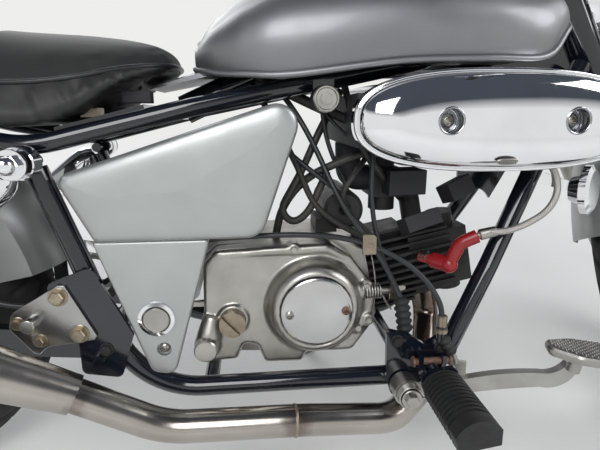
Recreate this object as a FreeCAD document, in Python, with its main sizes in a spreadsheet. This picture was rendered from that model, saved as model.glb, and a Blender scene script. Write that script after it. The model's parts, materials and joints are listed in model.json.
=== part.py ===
import FreeCAD, Part
import math
import os
import Sketcher
from FreeCAD import Placement, Rotation, Vector

# A small cruiser motorcycle with one flat cylinder, parked on its side stand with the
# steering turned left against its stop. Every piece is built upright in the bike frame:
# +X forward, +Y to the rider's left, +Z up, with the origin on the ground midway between
# the axles. At the end the whole machine leans on its stand.

SIZES = (
    # alias, millimetres or degrees
    ("wheelbase", 1290),
    ("rake_angle", 30),
    ("axle_offset", 63),
    ("fork_offset", 45),
    ("fork_half_width", 85),
    ("lock_angle", 40),
    ("lean_angle", 8),
    ("front_tyre_radius", 283),
    ("front_tyre_width", 80),
    ("front_bead_radius", 203),
    ("front_crown_radius", 42),
    ("rear_tyre_radius", 266),
    ("rear_tyre_width", 110),
    ("rear_bead_radius", 178),
    ("rear_crown_radius", 56),
    ("rim_wall", 6),
    ("hub_radius", 26),
    ("axle_radius", 7),
    ("spoke_width", 22),
    ("spoke_depth", 16),
    ("disc_radius", 110),
    ("disc_thickness", 4),
    ("drum_radius", 62),
    ("sprocket_radius", 74),
    ("drive_sprocket_radius", 27),
    ("chain_height", 12),
    ("chain_width", 11),
    ("chain_line", 70),
    ("tube_radius", 12.7),
    ("cradle_half_width", 110),
    ("cradle_height", 177),
    ("cradle_bend", 110),
    ("spine_radius", 19),
    ("head_radius", 24),
    ("head_bore", 14.4),
    ("stem_radius", 14),
    ("rail_radius", 11),
    ("cross_radius", 10),
    ("plate_thickness", 5),
    ("pivot_height", 233),
    ("pivot_back", 279),
    ("pivot_radius", 15),
    ("arm_height", 36),
    ("arm_width", 20),
    ("arm_half_gap", 86),
    ("shock_half_width", 137),
    ("shock_top_back", 332),
    ("shock_top_height", 470),
    ("shock_low_back", 575),
    ("shock_low_height", 282),
    ("spring_radius", 21),
    ("spring_wire", 7),
    ("stanchion_radius", 16.5),
    ("slider_radius", 21),
    ("slider_length", 300),
    ("yoke_low", 345),
    ("yoke_high", 546),
    ("yoke_thickness", 22),
    ("crank_forward", -12),
    ("crank_height", 276),
    ("case_half_width", 62),
    ("cover_depth", 28),
    ("dome_radius", 63),
    ("clutch_disc_radius", 46),
    ("dome_depth", 28),
    ("cylinder_tilt", 12),
    ("cylinder_start", 84),
    ("cylinder_length", 68),
    ("cylinder_height", 112),
    ("cylinder_half_width", 52),
    ("head_length", 86),
    ("head_height", 104),
    ("fin_thickness", 4),
    ("fin_pitch", 11.2),
    ("barrel_radius", 38),
    ("pipe_radius", 19),
    ("muffler_radius", 31),
    ("muffler_length", 330),
    ("muffler_rise", 28),
    ("muffler_flare", 8),
    ("outlet_radius", 17),
    ("outlet_depth", 60),
    ("air_cover_length", 354),
    ("air_cover_height", 118),
    ("air_cover_depth", 40),
    ("air_cover_forward", 203),
    ("air_cover_drop", 65),
    ("air_box_half_width", 114),
    ("air_cup_radius", 13),
    ("side_panel_half_width", 116),
    ("side_panel_depth", 18),
    ("tank_half_width", 126),
    ("tank_height", 122),
    ("tank_head_gap", 62),
    ("tank_rear", 155),
    ("tank_base", 578),
    ("fuel_cap_radius", 31),
    ("seat_half_width", 134),
    ("seat_height", 612),
    ("pillion_height", 688),
    ("fender_wall", 2.5),
    ("rear_fender_gap", 33),
    ("rear_fender_half_width", 61),
    ("rear_fender_drop", 66),
    ("front_fender_gap", 14),
    ("front_fender_half_width", 52),
    ("front_fender_drop", 34),
    ("lamp_radius", 78),
    ("lamp_depth", 120),
    ("meter_radius", 44),
    ("bar_radius", 11.1),
    ("bar_half_width", 350),
    ("grip_radius", 16.5),
    ("grip_length", 125),
    ("mirror_radius", 52),
    ("indicator_radius", 27),
    ("horn_radius", 33),
    ("peg_length", 98),
    ("peg_root", 172),
    ("peg_width", 50),
    ("peg_height", 33),
    ("peg_forward", 133),
    ("peg_level", 205),
    ("peg_rib_pitch", 7),
    ("spindle_forward", 100),
    ("stand_pivot_forward", 26),
    ("stand_pivot_side", 141.4),
    ("stand_pivot_height", 156),
    ("stand_foot_forward", 8),
    ("stand_foot_side", 232),
    ("stand_tube_radius", 9),
    ("stand_foot_radius", 24),
    ("stand_foot_thickness", 6),
    ("cable_radius", 3.5),
    ("lead_radius", 4),
)


class Dim(float):
    """A size that remembers the spreadsheet expression that it comes from."""

    def __new__(cls, number, text):
        made = super().__new__(cls, number)
        made.text = text
        return made

    def _with(self, other, sign, number, swapped=False):
        left, right = (written(other), self.text) if swapped else (self.text, written(other))
        return Dim(number, f"({left} {sign} {right})")

    def __add__(self, other):
        return self._with(other, "+", float(self) + float(other))

    def __radd__(self, other):
        return self._with(other, "+", float(other) + float(self), True)

    def __sub__(self, other):
        return self._with(other, "-", float(self) - float(other))

    def __rsub__(self, other):
        return self._with(other, "-", float(other) - float(self), True)

    def __mul__(self, other):
        return self._with(other, "*", float(self) * float(other))

    def __rmul__(self, other):
        return self._with(other, "*", float(other) * float(self), True)

    def __truediv__(self, other):
        return self._with(other, "/", float(self) / float(other))

    def __neg__(self):
        return Dim(-float(self), f"(0 - {self.text})")


def written(number):
    """The text of a size or plain number inside an expression."""
    return number.text if isinstance(number, Dim) else f"({float(number)!r})"


doc = FreeCAD.newDocument("cruiser")
sheet = doc.addObject("Spreadsheet::Sheet", "Dimensions")
for row, (alias, amount) in enumerate(SIZES, start=1):
    sheet.set(f"A{row}", str(amount))
    sheet.setAlias(f"A{row}", alias)
doc.recompute()
D = {alias: Dim(float(sheet.get(alias)), f"Dimensions.{alias}") for alias, amount in SIZES}

X, Y, Z = Vector(1, 0, 0), Vector(0, 1, 0), Vector(0, 0, 1)
RIGHT, LEFT = -1, 1
BOTH = ((RIGHT, "right"), (LEFT, "left"))
pieces = []


def keep(piece, label, steered=False):
    """Name a finished sub-part, and say whether it turns with the steering."""
    piece.Label = label
    pieces.append((piece, steered))
    return piece


def bind(piece, prop, number):
    """Tie a property to the sheet where the size comes from it."""
    if isinstance(number, Dim):
        piece.setExpression(prop, number.text)
    else:
        setattr(piece, prop, float(number))


def part(kind, name, place=None, **sizes):
    """A solid primitive with its sizes bound to the sheet."""
    made = doc.addObject(kind, name)
    for prop, number in sizes.items():
        bind(made, prop, number)
    made.Placement = place or Placement()
    return made


def aim(base, direction):
    """A placement at base whose own Z points along direction."""
    return Placement(Vector(base), Rotation(Z, Vector(direction)))


def rod(name, base, direction, radius, length):
    """A round bar from base along direction."""
    return part("Part::Cylinder", name, aim(base, direction), Radius=radius, Height=length)


def rod_between(name, first, last, radius):
    """A round bar between two points."""
    first, last = Vector(first), Vector(last)
    return rod(name, first, last - first, radius, (last - first).Length)


def block(name, centre, size, turn=None):
    """A box about its centre, turned about that centre."""
    turn = turn or Rotation()
    corner = turn.multVec(Vector(*[-float(side) / 2 for side in size]))
    made = part("Part::Box", name, Placement(Vector(centre) + corner, turn))
    for prop, side in zip(("Length", "Width", "Height"), size):
        bind(made, prop, side)
    return made


def fuse(name, parts):
    """Join solids into one sub-part."""
    made = doc.addObject("Part::MultiFuse", name)
    made.Shapes = parts
    made.Refine = True
    return made


def cut(name, base, tool):
    """Take one solid from another."""
    made = doc.addObject("Part::Cut", name)
    made.Base = base
    made.Tool = tool
    return made


def group(name, parts):
    """Like pieces that don't touch, kept as one sub-part."""
    made = doc.addObject("Part::Compound", name)
    made.Links = parts
    return made


def shape(name, solid):
    """A form made with the kernel's own functions, such as a bent tube."""
    made = doc.addObject("Part::Feature", name)
    made.Shape = solid
    return made


def draw(sketch, outline):
    """Draw a closed outline. Corners are (x, y) and are tied to the sheet; (x, y, "via")
    between two corners makes their edge an arc through that point."""
    edges = []
    for place, corner in enumerate(outline):
        if len(corner) == 3:
            continue
        following = outline[(place + 1) % len(outline)]
        first = Vector(float(corner[0]), float(corner[1]), 0)
        if len(following) == 2:
            last = Vector(float(following[0]), float(following[1]), 0)
            number = sketch.addGeometry(Part.LineSegment(first, last), False)
            edges.append((number, 1, 2, corner))
            continue
        via = Vector(float(following[0]), float(following[1]), 0)
        end = outline[(place + 2) % len(outline)]
        last = Vector(float(end[0]), float(end[1]), 0)
        forward = (via - first).cross(last - first).z > 0
        ends = (first, last) if forward else (last, first)
        number = sketch.addGeometry(Part.Arc(ends[0], via, ends[1]), False)
        edges.append((number, 1, 2, corner) if forward else (number, 2, 1, corner))
    for place, (number, start, finish, corner) in enumerate(edges):
        following = edges[(place + 1) % len(edges)]
        sketch.addConstraint(Sketcher.Constraint("Coincident", number, finish, following[0], following[1]))
        for kind, amount in (("DistanceX", corner[0]), ("DistanceY", corner[1])):
            tie = sketch.addConstraint(Sketcher.Constraint(kind, -1, 1, number, start, float(amount)))
            if isinstance(amount, Dim):
                sketch.setExpression(f"Constraints[{tie}]", amount.text)


def sketch_in(owner, role, outline):
    """A sketch on one of a body's own origin planes."""
    made = owner.newObject("Sketcher::SketchObject", owner.Name + "Outline")
    plane = next(feature for feature in owner.Origin.OriginFeatures if feature.Role == role)
    made.AttachmentSupport = (plane, "")
    made.MapMode = "FlatFace"
    draw(made, outline)
    return made


def padded(name, outline, thickness, place=None, soft=0, role="XZ_Plane"):
    """A plate with a drawn outline, centred on its plane, its upright corners rounded."""
    owner = doc.addObject("PartDesign::Body", name)
    pad = owner.newObject("PartDesign::Pad", name + "Pad")
    pad.Profile = sketch_in(owner, role, outline)
    pad.SideType = "Symmetric"
    bind(pad, "Length", thickness)
    owner.Tip = pad
    if soft:
        doc.recompute()
        normal = {"XZ_Plane": Y, "YZ_Plane": X, "XY_Plane": Z}[role]
        names = [f"Edge{n}" for n, edge in enumerate(pad.Shape.Edges, start=1)
                 if edge.Curve.TypeId == "Part::GeomLine" and abs(edge.Curve.Direction.dot(normal)) > 0.99]
        rounding = owner.newObject("PartDesign::Fillet", name + "Round")
        rounding.Base = (pad, names)
        bind(rounding, "Radius", soft)
        owner.Tip = rounding
    owner.Placement = place or Placement()
    return owner


def rounded(corners, inset=0):
    """The outline through corners (x, y, radius), drawn in by inset, its corners as arcs."""
    points = [Vector(x, y, 0) for x, y, radius in corners]
    runs = [(after - point).normalize() for point, after in zip(points, points[1:] + points[:1])]
    outline = []
    for point, into, out, (x, y, radius) in zip(points, runs[-1:] + runs[:-1], runs, corners):
        half_turn = into.getAngle(out) / 2
        inward = (out - into).normalize()
        corner = point + inward * (inset / math.cos(half_turn))
        reach = radius * math.tan(half_turn)
        first = corner - into * reach
        last = corner + out * reach
        middle = corner + inward * (radius / math.cos(half_turn) - radius)
        outline += [(first.x, first.y), (middle.x, middle.y, "via"), (last.x, last.y)]
    return outline


def crowned(name, corners, layers, place, outward=1):
    """A moulded panel: a rounded outline that draws in towards its face, layer by layer."""
    return loft(name, [(place.multiply(Placement(Vector(0, 0, outward * depth), Rotation())),
                        rounded(corners, inset)) for depth, inset in layers], True)


def turned(name, outline, place=None, angle=360):
    """A body of revolution about its own Y axis, from an outline in (y, radius)."""
    owner = doc.addObject("PartDesign::Body", name)
    profile = sketch_in(owner, "YZ_Plane", outline)
    spin = owner.newObject("PartDesign::Revolution", name + "Turn")
    spin.Profile = profile
    spin.ReferenceAxis = (profile, ["H_Axis"])
    bind(spin, "Angle", angle)
    owner.Tip = spin
    owner.Placement = place or Placement()
    return owner


def loft(name, sections, ruled=False):
    """A solid through closed outlines. Each section is a placement and its outline."""
    made = doc.addObject("Part::Loft", name)
    drawn = []
    for number, (place, outline) in enumerate(sections):
        sketch = doc.addObject("Sketcher::SketchObject", f"{name}Section{number}")
        draw(sketch, outline)
        sketch.Placement = place
        drawn.append(sketch)
    made.Sections = drawn
    made.Solid = True
    made.Ruled = ruled
    return made


def route(points, bends):
    """A wire of straight runs and tangent arcs. bends holds a radius for each inner point."""
    points = [Vector(point) for point in points]
    edges = []
    start = points[0]
    for before, corner, after, radius in zip(points, points[1:], points[2:], bends):
        into = (corner - before).normalize()
        out = (after - corner).normalize()
        turn = into.getAngle(out)
        reach = radius * math.tan(turn / 2)
        first = corner - into * reach
        last = corner + out * reach
        middle = corner + (out - into).normalize() * (radius / math.cos(turn / 2) - radius)
        edges.append(Part.LineSegment(start, first).toShape())
        edges.append(Part.Arc(first, middle, last).toShape())
        start = last
    edges.append(Part.LineSegment(start, points[-1]).toShape())
    return Part.Wire(edges)


def tube(points, bends, radius, bore=0):
    """A bent round tube or bar along a route."""
    path = route(points, bends)
    start = Vector(points[0])
    along = (Vector(points[1]) - start).normalize()
    rings = [float(radius)] + ([float(bore)] if bore else [])
    solids = []
    for ring in rings:
        circle = Part.Wire([Part.Circle(start, along, ring).toShape()])
        solids.append(path.makePipeShell([circle], True, True))
    return solids[0].cut(solids[1]) if bore else solids[0]


def largest_bends(points):
    """A cable's radii: 0.45 of the shorter run beside each point, over tan of half the turn."""
    points = [Vector(point) for point in points]
    radii = []
    for before, corner, after in zip(points, points[1:], points[2:]):
        turn = (corner - before).getAngle(after - corner)
        shorter = min((corner - before).Length, (after - corner).Length)
        radii.append(0.45 * shorter / math.tan(turn / 2))
    return radii


def ring(width, inner, outer):
    """The outline of a plain round band, in (y, radius)."""
    half = width / 2
    return [(-half, inner), (half, inner), (half, outer), (-half, outer)]


# Wheels

front_axle = Vector(float(D["wheelbase"]) / 2, 0, float(D["front_tyre_radius"]))
rear_axle = Vector(-float(D["wheelbase"]) / 2, 0, float(D["rear_tyre_radius"]))


def tyre(name, label, side, axle, steered):
    """A tyre: bead to bead round the rim, with a round crown."""
    radius, width = D[side + "_tyre_radius"], D[side + "_tyre_width"]
    bead, crown = D[side + "_bead_radius"], D[side + "_crown_radius"]
    half = width / 2
    bead_half = width * 0.40 - D["rim_wall"] - 0.3
    shoulder = radius - crown * 0.6
    hip = (radius + bead) / 2
    outline = [
        (-bead_half, bead), (bead_half, bead), (bead_half, bead + 6.4), (half - 1, hip - 8, "via"),
        (half - 2, shoulder), (0, radius, "via"), (2 - half, shoulder),
        (1 - half, hip - 8, "via"), (-bead_half, bead + 6.4),
    ]
    return keep(turned(name, outline, Placement(axle, Rotation())), label, steered)


def rim(name, label, side, axle, hub_half, steered):
    """A cast wheel: a channel rim, five paired spokes and the hub."""
    bead, width = D[side + "_bead_radius"], D[side + "_tyre_width"]
    wall = D["rim_wall"]
    half = width * 0.40
    outline = [
        (-half, bead - 16), (half, bead - 16), (half, bead + 6), (half - wall, bead + 6),
        (half - wall, bead - 0.3), (wall - half, bead - 0.3), (wall - half, bead + 6), (-half, bead + 6),
    ]
    band = turned(name + "Band", outline)
    hub = turned(name + "Hub", ring(hub_half * 2, D["axle_radius"] + 1, D["hub_radius"]))
    spokes = []
    count = 5
    inner = float(D["hub_radius"]) - 4
    outer = float(bead) - 14
    for number in range(count):
        for lean in (-9, 9):
            turn = Rotation(Y, 360 / count * number + lean)
            half_root, half_tip = D["spoke_width"] * 0.42, D["spoke_width"] * 0.27
            spokes.append(padded(f"{name}Spoke{number}_{lean + 9}", [
                (-half_root, inner), (half_root, inner), (half_tip, outer), (-half_tip, outer)],
                D["spoke_depth"], Placement(Vector(), turn)))
    wheel = fuse(name, [band, hub] + spokes)
    wheel.Placement = Placement(axle, Rotation())
    return keep(wheel, label, steered)


tyre("FrontTyre", "front_tyre", "front", front_axle, True)
tyre("RearTyre", "rear_tyre", "rear", rear_axle, False)
front_hub_half = 38
rear_hub_half = 42
rim("FrontWheel", "front_wheel_rim", "front", front_axle, front_hub_half, True)
rim("RearWheel", "rear_wheel_rim", "rear", rear_axle, rear_hub_half, False)

# The brake disc on the left of the front wheel, and its hub flange
disc = turned("FrontDisc", [
    (front_hub_half + 0.3, D["axle_radius"] + 1), (front_hub_half + 8, D["axle_radius"] + 1),
    (front_hub_half + 8, 34), (front_hub_half + 6 + D["disc_thickness"], 34),
    (front_hub_half + 6 + D["disc_thickness"], D["disc_radius"]), (front_hub_half + 6, D["disc_radius"]),
    (front_hub_half + 6, 34), (front_hub_half + 0.3, 34)], Placement(front_axle, Rotation()))
keep(disc, "front_brake_disc", True)

# The rear brake drum on the right, its standing plate, and the chain sprocket on the left
drum = turned("RearDrum", [
    (-rear_hub_half - 16, D["axle_radius"] + 1), (-rear_hub_half - 0.3, D["axle_radius"] + 1),
    (-rear_hub_half - 0.3, D["drum_radius"]), (-rear_hub_half - 16, D["drum_radius"])],
    Placement(rear_axle, Rotation()))
brake_plate = turned("BrakePlate", [
    (-rear_hub_half - 34, D["axle_radius"] + 0.3), (-rear_hub_half - 20, D["axle_radius"] + 0.3),
    (-rear_hub_half - 20, D["drum_radius"]), (-rear_hub_half - 26, D["drum_radius"]),
    (-rear_hub_half - 34, 24)], Placement(rear_axle, Rotation()))
brake_arm = padded("BrakeArm", [(-12, 34), (12, 34), (8, 84), (-8, 84)], 5,
                   Placement(rear_axle + Vector(38, -rear_hub_half - 29, 0), Rotation()), 3)
keep(fuse("RearBrakePlate", [brake_plate, brake_arm]), "rear_brake_plate")
sprocket_half = 3
sprocket = turned("RearSprocket", [
    (rear_hub_half + 0.3, D["axle_radius"] + 1), (D["chain_line"] + sprocket_half, D["axle_radius"] + 1),
    (D["chain_line"] + sprocket_half, D["sprocket_radius"] - D["chain_height"] / 2 - 1),
    (D["chain_line"] - sprocket_half, D["sprocket_radius"] - D["chain_height"] / 2 - 1),
    (D["chain_line"] - sprocket_half, 40), (rear_hub_half + 0.3, 40)], Placement(rear_axle, Rotation()))
keep(group("RearHubParts", [drum, sprocket]), "rear_drum_and_sprocket")

# Steering frame: s runs up the steering axis from the foot of the axle's offset,
# p runs square to it and forward.
rake = math.radians(float(D["rake_angle"]))
axis_up = Vector(-math.sin(rake), 0, math.cos(rake))
axis_ahead = Vector(math.cos(rake), 0, math.sin(rake))
axis_foot = front_axle - axis_ahead * float(D["axle_offset"])


def fork(p, y, s):
    """A point of the steering frame in the bike frame."""
    return axis_foot + axis_ahead * float(p) + Vector(0, float(y), 0) + axis_up * float(s)


fork_turn = Rotation(Y, -float(D["rake_angle"]))

# Frame
head_low = D["yoke_low"] + D["yoke_thickness"] + 4
head_high = D["yoke_high"] - 4
head_outer = rod("HeadOuter", fork(0, 0, head_low), axis_up, D["head_radius"], head_high - head_low)
head_bore = rod("HeadBore", fork(0, 0, head_low - 1), axis_up, D["head_bore"], head_high - head_low + 2)
spine_front = fork(0, 0, 470)
spine_path = [spine_front, Vector(-60, 0, 580), Vector(-178, 0, 526)]
spine = shape("SpineTube", tube(spine_path, [90], D["spine_radius"]))
gusset = padded("NeckGusset", [(345, 655), (372, 596), (318, 500), (264, 398), (240, 414, "via"), (214, 404),
                               (200, 622)], D["plate_thickness"])
cover_level = D["tank_base"] - D["air_cover_drop"]
brace_x = 283
cover_brace = rod_between("CoverBrace", (brace_x, 0.3 - D["air_box_half_width"], cover_level),
                          (brace_x, D["air_box_half_width"] - 0.3, cover_level), 9)

cradle_inset = 14
shock_eye = Vector(-float(D["shock_top_back"]), 0, float(D["shock_top_height"]))
half_cradle = float(D["cradle_half_width"])
level = float(D["cradle_height"])
cradle_tubes = []
for side, name in BOTH:
    cradle_path = [
        Vector(366, side * (cradle_inset + 10), 587), Vector(225, side * 88, 320),
        Vector(152, side * half_cradle, level + 1), Vector(-239, side * half_cradle, level),
        Vector(-300, side * (half_cradle - 3), 366),
        shock_eye + Vector(1, side * (half_cradle - 2), -9)]
    cradle_tubes.append(shape("CradleTube" + name.title(),
                              tube(cradle_path, [250, 60, float(D["cradle_bend"]), 400], D["tube_radius"])))

rail_points = (
    # x, y, z along each seat rail
    (150, 16, 592), (-28, 60, 555), (-160, 84, 528), (shock_eye.x - 3, 110, shock_eye.z + 14),
    (-450, 96, 506), (-600, 88, 546), (-745, 84, 566))
rails = [head_outer, spine, gusset, cover_brace]
for side, name in BOTH:
    path = [Vector(x, side * y, z) for x, y, z in rail_points]
    rails.append(shape("SeatRail" + name.title(), tube(path, [150, 200, 120, 200, 300], D["rail_radius"])))
    rails.append(rod("ShockStud" + name.title(), shock_eye + Y * side * 100, Y * side, 7, 58))
rails.append(rod_between("RailCross", (-172, -84, 524), (-172, 84, 524), D["cross_radius"]))
rails.append(rod_between("RailCrossRear", (-460, -94, 516), (-460, 94, 516), 7))
seat_slope = math.degrees(math.atan2(528 - rail_points[3][2], -160 - rail_points[3][0]))
seat_lean = Rotation(Y, -seat_slope)
seat_bed = Vector(-281.8, 0, 513.9)
tray_tall = 18
rails.append(block("SeatTray", seat_bed + seat_lean.multVec(Vector(20, 0, -tray_tall / 2 - 0.3)),
                   (104, 184, tray_tall), seat_lean))
rails.append(rod_between("SwitchTabArm", (0, -56, 555), (0, -64, 548), 6))
rails.append(block("SwitchTab", (0, -67.2, 545), (26, 5, 34)))
spine_along = (spine_path[1] - spine_front).normalize()
for number, along in enumerate((100, 300)):
    rails.append(rod(f"TankMount{number}", spine_front + spine_along * along, spine_along,
                     D["spine_radius"] + 3.4, 26))
keep(cut("FrameSpine", fuse("SpineJoined", rails), head_bore), "frame_spine")

for number, x in enumerate((118, -150)):
    cradle_tubes.append(rod_between(f"LowerCross{number}", (x, -half_cradle + 6, level),
                                    (x, half_cradle - 6, level), D["cross_radius"]))
keep(fuse("FrameCradle", cradle_tubes), "frame_cradle")
plate_side = half_cradle + float(D["tube_radius"] + D["plate_thickness"] / 2) + 0.1
plates = []
for side, name in BOTH:
    plates.append(padded("PivotPlate" + name.title(),
                         [(-300, 214), (-254, 206), (-236, 262), (-277, 349), (-330, 329), (-300, 262)],
                         D["plate_thickness"], Placement(Vector(0, side * plate_side, 0), Rotation()), 8))
stand_lug = padded("StandLug", [(-4, 176), (60, 176), (46, 146), (26, 140), (8, 146)], 5,
                   Placement(Vector(0, plate_side, 0), Rotation()), 4)
pivot = Vector(-float(D["pivot_back"]), 0, float(D["pivot_height"]))
bolt_holes = rod("PivotHoles", pivot - Y * 140, Y, 7.3, 280)

# Engine
crank = Vector(float(D["crank_forward"]), 0, float(D["crank_height"]))
case = padded("Crankcase", [
    (-158, 214), (-140, 200), (-30, 194), (40, 205), (80, 246), (60, 340), (8, 358), (-138, 354),
    (-158, 336)], D["case_half_width"] * 2, None, 5)
right_cover = padded("ClutchCover", [
    (-157, 262), (-155, 335), (-139, 353), (-80, 357), (8, 359), (35, 342), (66, 300), (72, 277), (66, 241),
    (41, 205), (-23, 205), (-28, 192), (-79, 193), (-88, 219), (-105, 225), (-115, 200), (-157, 198)],
    D["cover_depth"] - 0.3,
    Placement(Vector(0, -float(D["case_half_width"] + D["cover_depth"] / 2) - 0.15, 0), Rotation()), 5)
dome_face = float(D["case_half_width"] + D["cover_depth"])
dome_deep, disc_edge = D["dome_depth"], D["clutch_disc_radius"]
dome = turned("ClutchDome", [
    (0, 0), (dome_deep, 0), (dome_deep, disc_edge), (dome_deep - 2.5, disc_edge),
    (dome_deep - 2.5, disc_edge + 1.6), (dome_deep, disc_edge + 1.6), (dome_deep - 2, disc_edge + 6),
    (dome_deep * 0.45, D["dome_radius"] - 3.5, "via"),
    (0, D["dome_radius"])], Placement(crank + Vector(0, -dome_face + 1, 0), Rotation(Z, 180)))


def boss(name, x, z, outline):
    """A round boss or cap on the clutch cover's outer face."""
    return turned(name, outline, Placement(Vector(x, 1 - dome_face, z), Rotation(Z, 180)))


filler = cut("OilFiller", boss("OilFillerCap", -119, 260, [
    (0, 0), (17, 0), (17, 14), (14, 17), (6, 17), (6, 20.5), (0, 23)]),
    block("OilFillerSlot", (-119, -105, 260), (38, 7, 6), Rotation(Y, 48)))
cap_boss = boss("CaseBossCap", -153.5, 228.5, [(0, 0), (28, 0), (28, 13), (25, 16), (0, 17)])
boss_neck = rod_between("CaseBossNeck", (-152, -86, 232), (-147, -86, 254), 12)
lever_boss = rod("LeverBoss", (26, -90, 292), X, 14, 28)
lever_shaft_out = rod("LeverShaft", (53, -90, 292), X, 5, 42)
lever_blade = padded("LeverBlade", rounded([(-6, -26, 4), (6, -26, 4), (6, 7, 5), (-6, 7, 5)]), 3,
                     Placement(Vector(91, -90, 292), Rotation(Z, 90)))
cover_lug = padded("CoverLug", rounded([(-9, -6, 2), (9, -6, 2), (5, 12, 4), (-5, 12, 4)]), 8,
                   Placement(Vector(-39, -86, 356), Rotation()))
keep(fuse("ClutchCoverAll", [right_cover, dome, filler, cap_boss, boss_neck, lever_boss, lever_shaft_out,
                             lever_blade, cover_lug]), "clutch_cover")
left_cover = padded("FlywheelPlate", [
    (-62, 204), (-30, 196), (40, 207), (66, 240), (60, 322), (30, 350), (-62, 354)],
    18, Placement(Vector(0, float(D["case_half_width"]) + 9.3, 0), Rotation()), 10)
left_dome = turned("FlywheelDome", [(0, 0), (22, 0), (22, 44), (16, 52), (0, 58)],
                   Placement(crank + Vector(0, float(D["case_half_width"]) + 18, 0), Rotation()))
keep(fuse("CrankcaseAll", [case, left_cover, left_dome]), "crankcase")

tilt = math.radians(float(D["cylinder_tilt"]))
bore_along = Vector(math.cos(tilt), 0, math.sin(tilt))
bore_up = Vector(-math.sin(tilt), 0, math.cos(tilt))
bore_turn = Rotation(Y, -float(D["cylinder_tilt"]))


def on_bore(t, y, n):
    """A point along the cylinder's axis, across it and above it."""
    return crank + bore_along * float(t) + Vector(0, float(y), 0) + bore_up * float(n)


def finned(name, start, length, core, height, half_width):
    """A block of flat fins that run along the cylinder, on a core."""
    middle = on_bore(float(start) + float(length) / 2, 0, 0)
    fins = [core, block(name + "Web", middle, (length, 44, height), bore_turn)]
    count = int(float(height) / 2 / float(D["fin_pitch"]))
    for number in range(-count, count + 1):
        rise = number * float(D["fin_pitch"])
        share = math.sqrt(max(0.0, 1 - (rise / (float(height) * 0.62)) ** 2))
        centre = on_bore(float(start) + float(length) / 2, 0, rise)
        fins.append(block(f"{name}Fin{number + count}", centre,
                          (length, half_width * 2 * share, D["fin_thickness"]), bore_turn))
    return fuse(name, fins)


start = float(D["cylinder_start"])
barrel = rod("Barrel", on_bore(start, 0, 0), bore_along, D["barrel_radius"], D["cylinder_length"])
keep(finned("Cylinder", start, D["cylinder_length"], barrel, D["cylinder_height"], D["cylinder_half_width"]),
     "cylinder")
head_start = start + float(D["cylinder_length"]) + 0.3
head_core = block("HeadCore", on_bore(head_start + float(D["head_length"]) / 2, 0, 0),
                  (D["head_length"], D["cylinder_half_width"] * 1.5, D["head_height"] * 0.8), bore_turn)
head_fins = finned("HeadFins", head_start, D["head_length"] * 0.7, head_core, D["head_height"],
                   D["cylinder_half_width"])
rocker_caps = [rod(f"RockerCap{number}", on_bore(head_start + 62, 0, sign * 38), bore_up * sign, 20, 22)
               for number, sign in enumerate((-1, 1))]
keep(fuse("CylinderHead", [head_fins] + rocker_caps), "cylinder_head")

plug_seat = on_bore(head_start + 5, -53.5, 18)
plug_aim = Vector(0.70, -0.71, -0.05).normalize()
plug = rod("SparkPlug", plug_seat + plug_aim * 3.6, plug_aim, 7, 19.4)
cap_mouth = plug_seat + plug_aim * 23.3
cap_heel = plug_seat + plug_aim * 46
cap_knee = cap_heel + Vector(11, -4, 30)
plug_tail = Vector(0.86, -0.22, 0.46).normalize()
cap_end = cap_knee + plug_tail * 24
cap_body = rod_between("PlugCapBody", cap_mouth, cap_heel, 11)
cap_neck = shape("PlugCapNeck", tube([cap_heel - plug_aim * 14, cap_heel, cap_knee, cap_end], [8, 16], 9))
cap_crown = part("Part::Sphere", "PlugCapCrown", Placement(cap_heel, Rotation()), Radius=12)
keep(group("PlugParts", [plug, fuse("PlugCap", [cap_body, cap_neck, cap_crown])]), "plug_cap")

starter = turned("StarterMotor", [(-62, 0), (48, 0), (54, 7), (54, 22), (50, 27), (-62, 27)],
                 Placement(Vector(32, 0, 394), Rotation(Z, 180)))
starter_foot = block("StarterFoot", (12, 0, 368), (30, 60, 19.4))
keep(fuse("StarterMotorAll", [starter, starter_foot]), "starter_motor")

port_along = head_start + 22
port_rise = float(D["head_height"]) / 2 + 0.3
intake_foot = on_bore(port_along, 0, port_rise)
intake = shape("IntakePipe", tube([intake_foot, intake_foot + bore_up * 40, Vector(118, 0, 424)], [16], 15))
carb_parts = [intake,
              block("CarbBody", (98, 0, 427), (44, 58, 40)),
              rod("CarbBowl", (98, 0, 412), -Z, 19, 26),
              rod("CarbTop", (98, 0, 440), Z, 17, 26)]
keep(fuse("Carburettor", carb_parts), "carburettor")
box_tall = 62
throat_path = [Vector(74.6, 0, 431), Vector(48, 0, 432), Vector(46, 0, cover_level - box_tall / 2)]
throat = shape("AirDuct", tube(throat_path, [16], 18))
air_box = block("AirBoxBlock", (108, 0, cover_level), (150, D["air_box_half_width"] * 2 - 0.6, box_tall))
keep(fuse("AirBox", [throat, air_box]), "air_box")

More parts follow.
